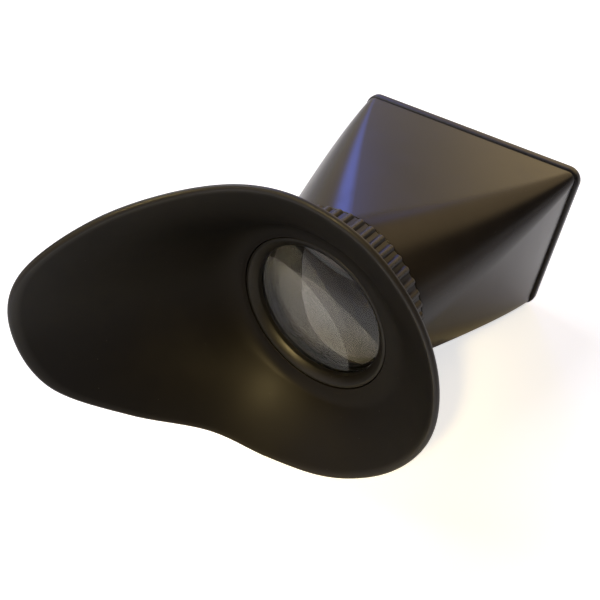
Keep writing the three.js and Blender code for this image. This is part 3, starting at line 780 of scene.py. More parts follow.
@dataclass
class Hood:
    """Fixed half: screen frame, light seal, magnets, screws, shell, seal and ring retainer.

    Args:
        optics: The frame.
        opening: Width and height of the frame's opening, which takes in a 3 inch screen.
        opening_corner: Corner radius of the opening.
        frame_corner: Corner radius of the frame.
        frame_edge: Rounding of the frame's outer front edges.
        frame_back_edge: Rounding of its outer rear edges.
        frame_rub: How rubbed those front edges are.
        seal_edge: Rounding of the seal's edges.
        recess: Depth of the seal's recess.
        wall: Thickness of the shell.
        swell_power: How late the shell's sides draw in along its length.
        corner: Corner radius of the shell at its wide end.
        end_wall: Thickness of the shell's end at the neck.
        neck_tail: How far the neck reaches behind that wall.
        neck_wall: Wall of the neck.
        spigot_wall: Wall of the neck's thinner end.
        screw_radius: Radius of a screw's thread.
        boss_radius: Radius of a screw's boss.
        boss_floor: What is left of a boss under its hole.
        boss_sink: Wall that is left between a boss and the shell's outside.
        boss_steps: Steps round a boss.
        boss_room: Front of the room in the shell that bosses are cut to.
        room_steps: Sections along that room.
        ring_step: How far the shell's round end lies inside the focus ring.
        neck_edge: Rounding between the shell and its neck.
        throat_edge: Rounding inside the shell, around the neck.
        steps: Sections along each face of the shell's flare.
    """

    optics: OpticalFrame
    opening: tuple[float, float] = (64 * MM, 43 * MM)
    opening_corner: float = 1.5 * MM
    frame_corner: float = 4.5 * MM
    frame_edge: float = 1.05 * MM
    frame_back_edge: float = 0.8 * MM
    frame_rub: float = 0.4
    seal_edge: float = 0.28 * MM
    recess: float = 0.6 * MM
    wall: float = 2.0 * MM
    swell_power: float = 1.35
    corner: float = 3.0 * MM
    end_wall: float = 2.4 * MM
    neck_tail: float = 2.0 * MM
    neck_wall: float = 1.7 * MM
    spigot_wall: float = 0.9 * MM
    screw_radius: float = 0.8 * MM
    boss_radius: float = 2.2 * MM
    boss_floor: float = 1.5 * MM
    boss_sink: float = 0.5 * MM
    boss_steps: int = 48
    boss_room: float = 20 * MM
    room_steps: int = 12
    ring_step: float = 0.95 * MM
    neck_edge: float = 0.35 * MM
    throat_edge: float = 0.6 * MM
    steps: int = 56

    def __post_init__(self) -> None:
        """Reads the sizes that the CAD nodes give."""
        see = self.optics
        self.frame_half = see.half_size("screen_frame")
        self.frame_rear, self.frame_front = see.along("screen_frame")
        self.rear, self.neck_front = see.along("hood_shell")
        self.half = see.half_size("hood_shell")
        self.front = see.along("focus_ring")[0] - 2 * SEAT_GAP
        self.neck_bore = see.reach("wave_washer")[0]
        self.neck_radius = self.neck_bore + self.neck_wall
        self.end_radius = see.reach("focus_ring")[1] - self.ring_step
        self.gap = (self.opening[0] / 2, self.opening[1] / 2, self.opening_corner)

    def section(self, place: float, wall: float) -> Ring:
        """Ring of the shell at a place on the axis, drawn in by a wall."""
        share = min(1.0, max(0.0, (place - self.rear) / (self.front - self.rear)))
        width = self.half[0] + (self.end_radius - self.half[0]) * share ** self.swell_power - wall
        height = self.half[1] + (self.end_radius - self.half[1]) * share - wall
        corner = self.corner + (self.end_radius - self.corner) * share - wall
        return width, height, min(corner, width, height), place

    def build_frame(self) -> None:
        """Screen frame: outer edges rounded, a recess for the seal, pockets and screw holes."""
        width, height = self.frame_half
        seal_width, seal_height = (size + SEAT_GAP for size in self.optics.half_size("face_gasket"))
        outer = (width, height, self.frame_corner)
        seal = (seal_width, seal_height, self.frame_corner - (width - seal_width))
        rear, front = self.frame_rear, self.frame_front
        profile = [(*outer, rear), (*outer, front), (*self.gap, front), (*self.gap, rear + self.recess),
                   (*seal, rear + self.recess), (*seal, rear)]
        fine = 0.2 * MM
        rings = softened(profile, (self.frame_back_edge, self.frame_edge, fine, fine, 0, fine))
        rub = [self.frame_rub * (ring[0] > width - self.frame_edge and ring[3] > front - self.frame_edge)
               for ring in rings]
        piece = loft("screen_bezel", rings, self.optics, rub)
        carve(piece, [*self.magnet_pockets(), *self.screw_holes(rear - SPARE, front + SPARE)], Carve.CUT)
        seat(piece, "hood", FRAME_PLASTIC, "screen_frame")

    def magnet_pockets(self) -> list[bpy.types.Object]:
        """Blocks a little larger than the magnets, open towards the seal."""
        blocks = []
        for number in MAGNETS:
            low, high = self.optics.limits(f"magnet_{number}")
            low, high = low - SEAT_GAP, high + SEAT_GAP
            low[2] = self.frame_rear - SPARE
            blocks.append(box(self.optics, tuple(high - low), tuple((high + low) / 2)))
        return blocks

    def screw_places(self) -> list[Point]:
        """Middle in x and y, and front on the axis, of each frame screw."""
        places = []
        for number in SCREWS:
            low, high = self.optics.limits(f"frame_screw_{number}")
            middle = (low + high) / 2
            places.append((middle[0], middle[1], high[2]))
        return places

    def screw_holes(self, rear: float, front: float) -> list[bpy.types.Object]:
        """Rods for the screws' clearance holes."""
        radius = self.screw_radius + SEAT_GAP
        return [skin("rod", rod(radius, (rear, front), (x, y)), self.optics)
                for x, y, _ in self.screw_places()]

    def build_shell(self) -> None:
        """Shell: one moulding from the frame to the neck, with bosses and pin slots."""
        inner_front = self.front - self.end_wall
        tail = inner_front - self.neck_tail
        spigot_rear = self.optics.along("ring_retainer")[0] - SEAT_GAP
        spigot = self.neck_bore + self.spigot_wall
        seal_rear, seal_front = self.optics.along("barrel_seal")
        groove = self.optics.reach("barrel_seal")[1] + SEAT_GAP
        fine = 0.1 * MM
        rear = self.rear - SEAT_GAP / 2
        outside = [self.section(place, 0) for place in np.linspace(rear, self.front, self.steps)]
        inside = [self.section(place, self.wall) for place in np.linspace(tail, rear, self.steps)]
        outer, bore = self.neck_radius, self.neck_bore
        neck = turned((outer, self.front), (outer, spigot_rear), (spigot, spigot_rear),
                      (spigot, self.neck_front), (bore, self.neck_front), (bore, seal_front + SEAT_GAP),
                      (groove, seal_front + SEAT_GAP), (groove, seal_rear - SEAT_GAP),
                      (bore, seal_rear - SEAT_GAP), (bore, tail))
        sizes = [fine, *[0] * (len(outside) - 2), self.neck_edge, *[fine] * len(neck),
                 self.throat_edge, *[0] * (len(inside) - 2), fine]
        rings = softened([*outside, *neck, *inside], sizes)
        inwards = [float(ring[0] < self.section(ring[3], self.wall / 2)[0]) for ring in rings]
        piece = loft("hood_moulding", rings, self.optics, inwards, INSIDE)
        carve(piece, [self.boss(*place) for place in self.screw_places()], Carve.JOIN)
        hole_front = self.screw_places()[0][2] + SEAT_GAP
        carve(piece, [*self.screw_holes(0, hole_front), *self.pin_slots()], Carve.CUT)
        seat(piece, "hood", HOOD_PLASTIC, "hood_shell")

    def boss(self, x: float, y: float, front: float) -> bpy.types.Object:
        """Solid around one screw, as far as it lies inside the shell."""
        ends = (self.rear + OFFSET, front + self.boss_floor)
        solid = skin("rod", rod(self.boss_radius, ends, (x, y), self.boss_steps), self.optics)
        places = np.linspace(self.rear - SPARE, self.boss_room, self.room_steps)
        room = [self.section(place, self.boss_sink) for place in places]
        closed = [(0, 0, 0, room[0][3]), *room, (0, 0, 0, room[-1][3])]
        carve(solid, [loft("core", closed, self.optics)], Carve.KEEP)
        return solid

    def pin_slots(self) -> list[bpy.types.Object]:
        """Blocks for the straight slots that the guide pins slide in."""
        blocks = []
        for number in PINS:
            angle, middle, height = self.optics.pin(number)
            size = (self.neck_wall + 2 * SPARE, height + 2 * SEAT_GAP,
                    height + 2 * (FOCUS_TRAVEL + SEAT_GAP))
            place = ((self.neck_bore + self.neck_radius) / 2, 0, middle)
            blocks.append(box(self.optics, size, place, angle))
        return blocks

    def build_gasket(self) -> None:
        """Foam light seal with soft edges."""
        width, height = self.optics.half_size("face_gasket")
        rear, front = self.optics.along("face_gasket")
        outer = (width, height, self.frame_corner - (self.frame_half[0] - width))
        profile = [(*outer, rear), (*outer, front), (*self.gap, front), (*self.gap, rear)]
        piece = loft("light_seal", softened(profile, self.seal_edge), self.optics)
        seat(piece, "hood", SEAL_RUBBER, "face_gasket")

    def build(self) -> None:
        """Makes and dresses the whole hood."""
        self.build_frame()
        self.build_shell()
        self.build_gasket()
        for number in MAGNETS:
            dress(self.optics, f"magnet_{number}", MAGNET_PLATE, MAGNET_EDGE)
        for number in SCREWS:
            dress(self.optics, f"frame_screw_{number}", STEEL, SCREW_EDGE)
        dress(self.optics, "ring_retainer", STEEL, FINE_EDGE)
        dress(self.optics, "barrel_seal", SEAL_RUBBER, 0)


@dataclass
class FocusRing:
    """Ribbed ring between the hood and the eyecup.

    Args:
        optics: The frame.
        rib_count: Number of ribs.
        rib_depth: Height of a rib.
        end_length: Length over which a rib's end rounds down.
        end_step: How far inside the ribs' roots the flat ends stop.
        chamfer: Chamfer of the bore.
        rubbed_from: Share of a rib's height from which it is rubbed.
        turn: How far the ring turns each way.
        groove_depth: Depth of the helical grooves.
        groove_steps: Sections along a groove.
        land_length: Length of the bore that runs on the neck.
    """

    optics: OpticalFrame
    rib_count: int = 48
    rib_depth: float = 0.9 * MM
    end_length: float = 0.7 * MM
    end_step: float = 0.3 * MM
    chamfer: float = 0.15 * MM
    rubbed_from: float = 0.8
    turn: float = math.radians(50)
    groove_depth: float = 0.95 * MM
    groove_steps: int = 29
    land_length: float = 5.6 * MM
    # A rib's outline across, as shares of the pitch and of the depth
    rib_shares: tuple[tuple[float, float], ...] = (
        (-0.5, 0), (-0.33, 0), (-0.29, 0.2), (-0.24, 0.52), (-0.17, 0.8), (-0.09, 0.95), (0, 1),
        (0.09, 0.95), (0.17, 0.8), (0.24, 0.52), (0.29, 0.2), (0.33, 0))
    # A rib's end along the axis, as shares of the end's length and of the depth
    end_shares: tuple[tuple[float, float], ...] = ((0, 0.3), (0.08, 0.62), (0.3, 0.86), (0.6, 0.97), (1, 1))

    def build(self) -> None:
        """Makes the ring, cuts its helical grooves and dresses it."""
        rear, front = self.optics.along("focus_ring")
        bore, outer = self.optics.reach("focus_ring")
        retainer = self.optics.reach("ring_retainer")[1] + SEAT_GAP
        land_front = rear + self.land_length
        root = outer - self.rib_depth
        ribs = np.array([(rib + share, height) for rib in range(self.rib_count)
                         for share, height in self.rib_shares])
        angles = ribs[:, 0] * 2 * math.pi / self.rib_count
        rising = [(rear + share * self.end_length, height) for share, height in self.end_shares]
        falling = [(front - share * self.end_length, height) for share, height in reversed(self.end_shares)]
        stations = [(bore + self.chamfer, rear, 0), (root - self.end_step, rear, 0),
                    *[(root, place, height) for place, height in (*rising, *falling)],
                    (root - self.end_step, front, 0), (retainer, front, 0), (retainer, land_front, 0),
                    (bore, land_front, 0), (bore, rear + self.chamfer, 0)]
        rows, rub = [], []
        for radius, place, height in stations:
            rows.append(polar(radius + self.rib_depth * height * ribs[:, 1], angles, place))
            rub.append(height * (ribs[:, 1] > self.rubbed_from))
        piece = skin("ribbed_ring", np.array(rows), self.optics, np.array(rub, float))
        carve(piece, [self.groove(number, bore) for number in PINS], Carve.CUT)
        seat(piece, "focus_ring", RING_PLASTIC, "focus_ring")

    def groove(self, number: int, bore: float) -> bpy.types.Object:
        """Helical block that cuts one guide pin's groove."""
        start, middle, thickness = self.optics.pin(number)
        half = thickness / 2 + SEAT_GAP
        far = self.turn + 2 * half / bore
        radii = bore + np.array((-SPARE, -SPARE, self.groove_depth, self.groove_depth))
        levels = half * np.array((-1, 1, 1, -1))
        rows = [polar(radii, turn + start, middle - FOCUS_TRAVEL * turn / self.turn + levels)
                for turn in np.linspace(-far, far, self.groove_steps)]
        ends = [np.broadcast_to(row.mean(0), row.shape) for row in (rows[0], rows[-1])]
        return skin("groove", np.array([ends[0], *rows, ends[1]]), self.optics)


@dataclass
class Eyepiece:
    """Sliding half: barrel, two lenses, spacer, rear ring, eye ring, washer and guide pins.

    Args:
        optics: The frame.
        barrel_wall: Wall of the barrel.
        shoulder_height: Height of the shoulder that the collar runs on.
        shoulder_length: Length of that shoulder.
        lens_seat: Width of a lens's flat seat.
        face_depth: Depth of the eye ring's sloping face.
        face_edge: Chamfer around the ring's flat top.
        top_width: Width of that top, from the ring's outside to the face.
        face_bulge: Where the face bulges to, as shares of its width from the bore and of its depth.
        crest: Rounding between that top and the face.
        edge: Rounding of fine edges.
        ground_edge: Bevel of a lens's ground edge.
        notch: Width and depth of the spanner notches.
    """

    optics: OpticalFrame
    barrel_wall: float = 1.1 * MM
    shoulder_height: float = 1.3 * MM
    shoulder_length: float = 0.9 * MM
    lens_seat: float = 0.8 * MM
    face_depth: float = 1.85 * MM
    face_edge: float = 0.15 * MM
    top_width: float = 0.8 * MM
    face_bulge: tuple[float, float] = (0.34, 0.62)
    crest: float = 0.2 * MM
    edge: float = 0.12 * MM
    ground_edge: float = 0.15 * MM
    notch: float = 2 * MM
    # The lenses: name, CAD node, thickness of the edge and rise of the front dome
    lenses: tuple[tuple[str, str, float, float], ...] = (
        ("eye_lens", "front_lens", 2.4 * MM, 3.2 * MM), ("field_lens", "rear_lens", 2.0 * MM, 1.5 * MM))
    # The plain rings inside: name, CAD node and width
    rings: tuple[tuple[str, str, float], ...] = (
        ("spacer_ring", "lens_spacer", 1.0 * MM), ("rear_lock_ring", "rear_lens_ring", 2.4 * MM))

    def __post_init__(self) -> None:
        """Reads the sizes that the CAD nodes give."""
        self.glass_radius = self.optics.reach("front_lens")[1]
        self.bore = self.glass_radius + SEAT_GAP
        self.barrel_radius = self.bore + self.barrel_wall

    def build_barrel(self) -> None:
        """Barrel with its shoulder, drilled for the guide pins."""
        rear, front = self.optics.along("lens_barrel")
        shoulder_front = self.optics.along("eyecup_collar")[0] - SEAT_GAP
        shoulder_rear = shoulder_front - self.shoulder_length
        high = self.barrel_radius + self.shoulder_height
        outer = self.barrel_radius
        piece = lathe("barrel_tube", self.optics, self.edge, (self.bore, rear), (outer, rear),
                      (outer, shoulder_rear), (high, shoulder_rear), (high, shoulder_front),
                      (outer, shoulder_front), (outer, front), (self.bore, front))
        carve(piece, [self.pin_hole(number) for number in PINS], Carve.CUT)
        seat(piece, "eyepiece", BARREL_PLASTIC, "lens_barrel")

    def pin_hole(self, number: int) -> bpy.types.Object:
        """Rod across the barrel's wall for one guide pin's hole."""
        angle, middle, thickness = self.optics.pin(number)
        ends = (self.bore - SPARE, self.barrel_radius + SPARE)
        upright = rod(thickness / 2 + SEAT_GAP, ends, (0, middle))
        return skin("drill", swung(upright[..., [2, 0, 1]], angle), self.optics)

    def dome(self, edge: float, rise: float) -> list[tuple[float, float]]:
        """Radius and place on a spherical face, from its edge to its middle.

        Args:
            edge: Place of the face's edge.
            rise: How far the middle lies from the edge; below 0 it lies behind.

        Returns:
            Points of the face.
        """
        radius = self.glass_radius - self.lens_seat
        curve = (radius ** 2 + rise ** 2) / (2 * abs(rise))
        sign = math.copysign(1, rise)
        outs = radius * np.cos(np.linspace(0, math.pi / 2, DOME_STEPS + 1))
        outs[-1] = 0
        return [(out, edge + sign * (math.sqrt(curve ** 2 - out ** 2) - curve) + rise) for out in outs]

    def build_lens(self, name: str, node: str, thickness: float, front_rise: float) -> None:
        """Lens with flat seats round its domes on a ground edge.

        Args:
            name: The piece's name.
            node: The CAD node that it replaces.
            thickness: Thickness of the lens's edge.
            front_rise: Rise of the front dome.
        """
        rear, front = self.optics.along(node)
        front_edge = front - front_rise
        rear_edge = front_edge - thickness
        bevel = self.ground_edge
        ground = [(self.glass_radius - bevel, rear_edge), (self.glass_radius, rear_edge + bevel),
                  (self.glass_radius, front_edge - bevel), (self.glass_radius - bevel, front_edge)]
        rear_face = [(0.0, rear_edge)]
        if rear_edge - rear > bevel:
            rear_face = self.dome(rear_edge, rear - rear_edge)[::-1]
        piece = lathe(name, self.optics, 0, *rear_face, *ground, *self.dome(front_edge, front_rise))
        seat(piece, "eyepiece", LENS_GLASS, node)

    def build_rings(self) -> None:
        """Spacer between the lenses and the notched ring behind them."""
        for name, node, width in self.rings:
            rear, front = self.optics.along(node)
            outer = self.optics.reach(node)[1]
            inner = outer - width
            piece = lathe(name, self.optics, self.edge, (inner, rear), (outer, rear), (outer, front),
                          (inner, front))
            if node == "rear_lens_ring":
                notches = box(self.optics, (3 * outer, self.notch, self.notch), (0, 0, rear))
                carve(piece, [notches], Carve.CUT)
            seat(piece, "eyepiece", BARREL_PLASTIC, node)

    def build_eye_ring(self) -> None:
        """Polished ring around the glass: skirt, flange and sloping face."""
        rear, front = self.optics.along("eye_ring")
        inner, outer = self.optics.reach("eye_ring")
        flange = self.optics.along("lens_barrel")[1] + SEAT_GAP
        rim = np.array((outer - self.top_width, front))
        throat = np.array((inner, front - self.face_depth))
        face = bent(rim, throat + (rim - throat) * np.array(self.face_bulge), throat, DOME_STEPS)
        fine = 0.05 * MM
        sizes = [self.edge, 0, 0, self.edge, fine, fine, self.crest, *[0] * (len(face) - 2), fine]
        piece = lathe("glass_bezel", self.optics, sizes, (inner, rear), (self.glass_radius, rear),
                      (self.glass_radius, flange), (outer, flange), (outer, front - self.face_edge),
                      (outer - self.face_edge, front), *face)
        seat(piece, "eyepiece", TRIM_PLASTIC, "eye_ring")

    def build(self) -> None:
        """Makes and dresses the whole eyepiece."""
        self.build_barrel()
        for lens in self.lenses:
            self.build_lens(*lens)
        self.build_rings()
        self.build_eye_ring()
        dress(self.optics, "wave_washer", STEEL, 0)
        for number in PINS:
            dress(self.optics, f"guide_pin_{number}", STEEL, FINE_EDGE)


@dataclass
class Eyecup:
    """Turning half: the winged rubber moulding on its stiff collar.

    Args:
        optics: The frame.
        side_radius: Radius of the rim at its sides.
        low_rise: Height of the rim's low side above the mouth.
        wing_rise: Height of the wing's tip above that.
        lip_radius: Radius of the rim's rounded lip.
        rear_lip: Thickness of the rubber behind the collar's flange.
        base_wall: Wall around the flange.
        wall: How far the outside's curve is pulled off the inside's.
        land_width: Width of the flat band around the mouth.
        land_rise: How far that band rises outwards.
        land_start: Where the band starts to rise, from the mouth.
        flange: Thickness of the collar's flange.
        collar_edge: Rounding of the collar's edges.
        lip_rub_and_highlight_reach: How far from the rim the lip is rubbed and painted lighter as a
            highlight, in thicknesses of the lip.
        mouth_rise: How far the mouth stands before the eye ring's face.
        round_steps: Sections round the cup.
        flare_steps: Steps of each face of the wall.
        soft_steps: How many of them the land runs softly into.
        lip_steps: Steps over the lip.
    """

    optics: OpticalFrame
    side_radius: float = 47.5 * MM
    low_rise: float = 10.5 * MM
    wing_rise: float = 46 * MM
    lip_radius: float = 0.8 * MM
    rear_lip: float = 0.65 * MM
    base_wall: float = 1.7 * MM
    wall: float = 1.3 * MM
    land_width: float = 4.0 * MM
    land_rise: float = 0.3 * MM
    land_start: float = 0.5 * MM
    flange: float = 0.9 * MM
    collar_edge: float = 0.1 * MM
    lip_rub_and_highlight_reach: float = 1.4
    mouth_rise: float = 0.3 * MM
    round_steps: int = 240
    flare_steps: int = 30
    soft_steps: int = 4
    lip_steps: int = 12
    # Rim from the low side round to the wing's tip, in equal steps of angle
    rim_radius_shares: tuple[float, ...] = (0.939, 0.939, 0.959, 0.993, 1, 0.989, 1.037, 1.09, 1.117)
    rim_rise_shares: tuple[float, ...] = (0.008, 0, 0.013, 0.052, 0.124, 0.268, 0.608, 0.925, 1)
    # Where the inside's curve is pulled to from the land to the rim, out and up: at the low side, at
    # the two sides and at the wing
    flare_shares: tuple[tuple[float, float], ...] = ((0.6, 0.44), (0.18, 0.42), (0.58, 0.38))
    # Rounding at the outside's foot, out from its corner and up from the rear
    foot: tuple[tuple[float, float], ...] = ((-0.1 * MM, 0.25 * MM), (-0.4 * MM, 0))
    # Lip of the mouth, out from its radius and up from its place
    mouth_lip: tuple[tuple[float, float], ...] = (
        (0, -0.6 * MM), (-0.15 * MM, -0.2 * MM), (-0.08 * MM, -0.05 * MM), (0.2 * MM, 0))

    def __post_init__(self) -> None:
        """Reads the sizes that the CAD nodes give."""
        self.rear = self.optics.along("eyecup")[0]
        self.mouth_place = self.optics.along("eye_ring")[1] + self.mouth_rise
        self.collar_rear, self.collar_front = self.optics.along("eyecup_collar")
        self.flange_radius = self.optics.reach("eyecup_collar")[1]
        self.mouth_radius = self.optics.reach("eyecup")[0]

    def rim(self) -> np.ndarray:
        """Points of the rim as a smooth closed curve through its handles."""
        last = len(self.rim_radius_shares) - 1
        sides = [*range(last + 1), *range(last - 1, 0, -1)]
        angles = np.arange(2 * last) * math.pi / last
        radii = self.side_radius * np.array([self.rim_radius_shares[side] for side in sides])
        rises = np.array([self.rim_rise_shares[side] for side in sides])
        places = self.mouth_place + self.low_rise + self.wing_rise * rises
        handles = polar(radii, angles, places)
        points = []
        for number in range(self.round_steps):
            first, share = divmod(number * len(handles) / self.round_steps, 1)
            before, start, end, after = (handles[(int(first) + step) % len(handles)]
                                         for step in (-1, 0, 1, 2))
            points.append(0.5 * (2 * start + (end - before) * share
                                 + (2 * before - 5 * start + 4 * end - after) * share ** 2
                                 + (3 * start - before - 3 * end + after) * share ** 3))
        return np.array(points)

    def pull(self, start: np.ndarray, rim: np.ndarray, angle: float) -> np.ndarray:
        """Point that pulls the inside's curve out, between its start on the land and the rim."""
        low, side, wing = np.array(self.flare_shares)
        turn = math.cos(angle)
        shares = side + (low - wing) / 2 * turn + ((low + wing) / 2 - side) * turn ** 2
        return start + (rim - start) * shares

    @staticmethod
    def out_of(direction: np.ndarray) -> np.ndarray:
        """Unit vector across a direction, out of the cup."""
        return np.array((direction[1], -direction[0])) / np.linalg.norm(direction)

    def section(self, rim: np.ndarray, angle: float) -> tuple[np.ndarray, np.ndarray]:
        """Closed section of the wall through the axis.

        Args:
            rim: Radius and place of the rim.
            angle: Angle about the axis from the low side.

        Returns:
            Points as radius and place, and how much of the lip each one is.
        """
        start = np.array((self.mouth_radius + self.land_width, self.mouth_place + self.land_rise))
        along = rim - self.pull(start, rim, angle)
        along = along / np.linalg.norm(along)
        across = self.out_of(along)
        centre = rim - along * self.lip_radius
        turn = np.linspace(0, math.pi, self.lip_steps + 1)[:, None]
        lip = centre - across * self.lip_radius * np.cos(turn) + along * self.lip_radius * np.sin(turn)
        pull = self.pull(start, lip[0], angle)
        corner = np.array((self.flange_radius + SEAT_GAP + self.base_wall, self.rear + self.rear_lip))
        inner = bent(start, pull, lip[0], self.flare_steps)[:-1]
        flat = start - np.array((self.land_width - self.land_start, self.land_rise))
        near = inner[self.soft_steps]
        inner = np.concatenate((bent(flat, start, near, 3 * self.soft_steps)[:-1],
                                inner[self.soft_steps:]))
        outer_pull = pull + self.out_of(rim - start) * self.wall
        outer = bent(lip[-1], outer_pull, corner, self.flare_steps)[1:]
        groove = self.flange_radius + SEAT_GAP
        flange_rear = self.rear + self.rear_lip
        flange_front = flange_rear + 2 * SEAT_GAP + self.flange
        mouth = self.mouth_radius
        base = np.array([*[(corner[0] + out, self.rear + up) for out, up in self.foot], (mouth, self.rear),
                         (mouth, flange_rear), (groove, flange_rear), (groove, flange_front),
                         (mouth, flange_front),
                         *[(mouth + out, self.mouth_place + up) for out, up in self.mouth_lip]])
        points = np.concatenate((inner, lip, outer, base))
        away = np.linalg.norm(points - rim, axis=1)
        # Lip mask: handling wear and the painted highlight along the rim
        return points, np.clip(self.lip_rub_and_highlight_reach - away / (2 * self.lip_radius), 0, 1)

    def build(self) -> None:
        """Makes and dresses the rubber and its collar."""
        rows, rub = [], []
        for x, y, place in self.rim():
            angle = math.atan2(y, x)
            section, lip = self.section(np.array((math.hypot(x, y), place)), angle)
            rows.append(polar(section[:, 0], angle, section[:, 1]))
            rub.append(lip)
        # rub marks the lip: handling wear and, in the rubber's colour, a painted highlight along the rim
        piece = skin("winged_cup", np.array(rows), self.optics, np.array(rub))
        seat(piece, "eyecup", EYECUP_RUBBER, "eyecup")
        self.build_collar()

    def build_collar(self) -> None:
        """Stiff collar inside the rubber's base."""
        bore = self.optics.reach("eyecup_collar")[0]
        collar = self.mouth_radius - SEAT_GAP
        flange_rear = self.rear + self.rear_lip + SEAT_GAP
        flange_front = flange_rear + self.flange
        piece = lathe("cup_collar", self.optics, self.collar_edge, (bore, self.collar_rear),
                      (collar, self.collar_rear), (collar, flange_rear), (self.flange_radius, flange_rear),
                      (self.flange_radius, flange_front), (collar, flange_front),
                      (collar, self.collar_front), (bore, self.collar_front))
        seat(piece, "eyecup", BARREL_PLASTIC, "eyecup_collar")


def direction_of(azimuth: float, elevation: float) -> Point:
    """Unit vector from degrees: from +Y towards +X, and above the floor's horizon."""
    turn, rise = math.radians(azimuth), math.radians(elevation)
    return math.sin(turn) * math.cos(rise), math.cos(turn) * math.cos(rise), math.sin(rise)


@dataclass(frozen=True)
class Patch:
    """Soft patch of the room around the object, in degrees.

    Args:
        azimuth: Direction from +Y towards +X.
        elevation: Height above the floor's horizon.
        reach: Half the angle over which it is full.
        fade: Angle over which it then fades out.
        colour: Its light.
    """

    azimuth: float
    elevation: float
    reach: float
    fade: float
    colour: Colour


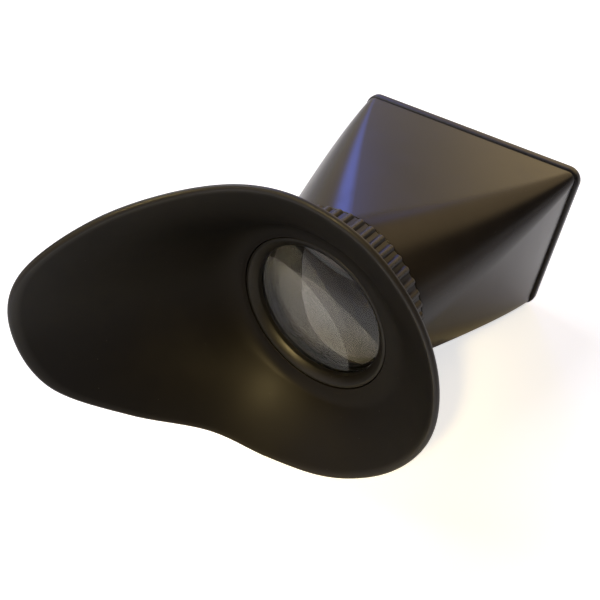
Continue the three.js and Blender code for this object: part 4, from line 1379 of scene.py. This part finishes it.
@dataclass
class Studio:
    """Pale floor, white backdrop, the room's soft light and the camera.

    Args:
        optics: The frame.
        room: Light of the room where no patch lies.
        patches: The room's lighter and darker parts, the later over the earlier.
        floor_size: Width of the floor.
        floor_cloud: Length of one of its clouds.
        floor_colours: The clouds' two colours.
        floor_roughness: Roughness of the floor.
        floor_sheen: Strength of its mirroring.
        floor_lift: Light that the floor adds for eyes, mirrors and lenses, so that it looks white.
        floor_reach: Distances at which the floor's glow in mirrors is dark (a painted shadow around the
            object), is light and has faded again.
        floor_mirror: How much of that light mirrors see where the floor is light.
        horizon: Elevation up to which mirrors see the white backdrop, in degrees.
        desk_aim: Point about the optical axis that the desk lamp lights.
        desk_way: Azimuth and elevation of the desk lamp from there.
        desk_distance: How far away the desk lamp is.
        desk_power: Power of the desk lamp.
        desk_cone: Width of its cone, in degrees.
        desk_size: Radius of the lamp, which softens its shadows.
        desk_colour: Colour of its light.
        top_place: Place of the large soft lamp above.
        top_size: Width of that lamp.
        top_power: Its power.
        top_colour: Colour of its light.
        camera_place: Camera's place about the optical axis.
        camera_aim: Point about the optical axis that it looks at.
        camera_roll: Turn about its own axis, in degrees.
        lens: Focal length in millimetres.
        sensor: Width of the picture behind that lens, in millimetres.
    """

    optics: OpticalFrame
    room: Colour = (0.5, 0.48, 0.46)
    patches: tuple[Patch, ...] = (
        Patch(-28, 15, 20, 28, (0.8, 0.68, 0.53)),
        Patch(2, 13, 11, 15, (2.1, 1.55, 0.8)),
        Patch(60, 30, 16, 24, (0.015, 0.014, 0.013)),
        Patch(180, 40, 60, 40, (0.064, 0.052, 0.056)),
        Patch(-150, 12, 12, 14, (1.6, 1.4, 1.3)),
        Patch(-14, 40, 4, 5, (0.9, 0.86, 1.6)),
        Patch(-38, 24, 4, 7, (1.7, 2.2, 7.4)),
        Patch(24, 40, 10, 18, (1.4, 1.0, 0.52)),
        Patch(-35, 38, 3, 5, (1.1, 1.1, 3.0)),
    )
    floor_size: float = 6.0
    floor_cloud: float = 0.3
    floor_roughness: float = 0.9
    floor_sheen: float = 0.1
    floor_colours: tuple[Colour, Colour] = ((0.82, 0.83, 0.84), (0.84, 0.85, 0.86))
    floor_lift: float = 0.7
    floor_reach: tuple[float, float, float] = (0.05, 0.1, 0.4)
    floor_mirror: float = 0.8
    horizon: float = 2.0
    desk_aim: Point = (-9 * MM, -28 * MM, 86 * MM)
    desk_way: tuple[float, float] = (164.0, 57.0)
    desk_distance: float = 0.35
    desk_power: float = 12.5
    desk_cone: float = 17.0
    desk_size: float = 0.05
    desk_colour: Colour = (1.0, 0.76, 0.33)
    top_place: Point = (-0.9, 0.1, 1.1)
    top_size: float = 0.8
    top_power: float = 10.0
    top_colour: Colour = (0.97, 0.98, 1.0)
    camera_place: Point = (73.88 * MM, 124.09 * MM, 190.19 * MM)
    camera_aim: Point = (-5.11 * MM, 2.03 * MM, 79.05 * MM)
    camera_roll: float = -7.0
    lens: float = 39.93
    sensor: float = 36.0

    def build_world(self) -> None:
        """Room light: white for what looks straight or through glass, patches for the rest."""
        world = bpy.data.worlds.new("room")
        bpy.context.scene.world = world
        shader = Shader(world)
        way = shader.node("ShaderNodeTexCoord").outputs["Generated"]
        light = self.room
        for patch in self.patches:
            inputs = {0: way, 1: direction_of(patch.azimuth, patch.elevation)}
            near = shader.signal("ShaderNodeVectorMath", "Value", {"operation": "DOT_PRODUCT"}, inputs)
            edge, full = (math.cos(math.radians(angle))
                          for angle in (patch.reach + patch.fade, patch.reach))
            light = shader.mix(near.between(edge, full), light, patch.colour)
        height = shader.signal("ShaderNodeSeparateXYZ", "Z", None, {"Vector": way})
        backdrop = 1 - height.between(0, math.sin(math.radians(self.horizon)))
        colour = shader.mix(self.seen(shader, backdrop), light, (1, 1, 1))
        background = shader.node("ShaderNodeBackground", None, {"Color": colour, "Strength": 1.0})
        shader.node("ShaderNodeOutputWorld", None, {"Surface": background.outputs["Background"]})

    @staticmethod
    def seen(shader: Shader, mirrored: Signal) -> Signal:
        """1 for what looks straight or through glass, and as much as asked for what mirrors."""
        path = shader.node("ShaderNodeLightPath").outputs
        camera, through, mirror = (Signal(shader, path[f"Is {kind} Ray"])
                                   for kind in ("Camera", "Transmission", "Glossy"))
        return camera.or_more(through).or_more(mirror * mirrored)

    def build_floor(self) -> None:
        """Pale seamless floor that keeps the object's shadow, and whose glow in mirrors has a painted
        shadow around the object.
        """
        half = self.floor_size / 2
        mesh = bpy.data.meshes.new("floor")
        corners = [(-half, -half, 0), (half, -half, 0), (half, half, 0), (-half, half, 0)]
        mesh.from_pydata(corners, [], [(0, 1, 2, 3)])
        floor = link("floor", mesh)
        material = bpy.data.materials.new("pale_floor")
        shader = Shader(material)
        clouds = shader.noise(self.floor_cloud)
        colour = shader.mix(clouds.between(*EVEN), *self.floor_colours)
        away = shader.signal("ShaderNodeVectorMath", "Value", {"operation": "LENGTH"}, {0: shader.place()})
        dark, light, faded = self.floor_reach
        # Glow that mirrors see: dark near the object as a painted shadow, then light, then fading away
        near = away.between(dark, light) * (1 - away.between(light, faded)) * self.floor_mirror
        glow = shader.mix(self.seen(shader, near), (0, 0, 0), (1, 1, 1))
        shader.finish({"Base Color": colour, "Roughness": self.floor_roughness,
                       "Specular IOR Level": self.floor_sheen,
                       "Emission Color": glow, "Emission Strength": self.floor_lift})
        mesh.materials.append(material)

    @staticmethod
    def add_lamp(name: str, kind: str, place: Vector, way: Vector, **settings: object) -> None:
        """Adds a lamp at a place that shines one way."""
        data = bpy.data.lights.new(name, kind)
        for key, value in settings.items():
            setattr(data, key, value)
        lamp = link(name, data)
        lamp.location = place
        lamp.rotation_euler = way.to_track_quat("-Z", "Y").to_euler()

    def build_lamps(self) -> None:
        """Warm lamp with a narrow soft cone on the eyecup's inside, and a large soft one above."""
        way = Vector(direction_of(*self.desk_way))
        place = Vector(self.optics.place(np.array(self.desk_aim))) + way * self.desk_distance
        self.add_lamp("desk_lamp", "SPOT", place, -way, energy=self.desk_power, color=self.desk_colour,
                      spot_size=math.radians(self.desk_cone), spot_blend=1.0,
                      shadow_soft_size=self.desk_size)
        place = Vector(self.top_place)
        self.add_lamp("top_light", "AREA", place, -place, size=self.top_size, energy=self.top_power,
                      color=self.top_colour)

    def build_camera(self) -> None:
        """Camera at the photograph's viewing angle."""
        data = bpy.data.cameras.new("camera")
        data.lens = self.lens
        data.sensor_width = self.sensor
        camera = link("camera", data)
        place, aim = (Vector(point) for point in self.optics.place(
            np.array((self.camera_place, self.camera_aim))))
        look = (aim - place).to_track_quat("-Z", "Y").to_matrix()
        camera.matrix_world = Matrix.Translation(place) @ (
            look @ Matrix.Rotation(math.radians(self.camera_roll), 3, "Z")).to_4x4()
        bpy.context.scene.camera = camera

    def build(self) -> None:
        """Makes the whole studio."""
        bpy.context.scene.view_settings.view_transform = "Standard"
        self.build_camera()
        self.build_floor()
        self.build_world()
        self.build_lamps()


def main() -> None:
    """Builds the viewfinder and its studio."""
    logging.basicConfig(level=logging.INFO, format="%(name)s: %(message)s")
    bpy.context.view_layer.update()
    optics = OpticalFrame(frame)
    Studio(optics).build()
    Hood(optics).build()
    FocusRing(optics).build()
    Eyepiece(optics).build()
    Eyecup(optics).build()


if __name__ == "__main__":
    main()
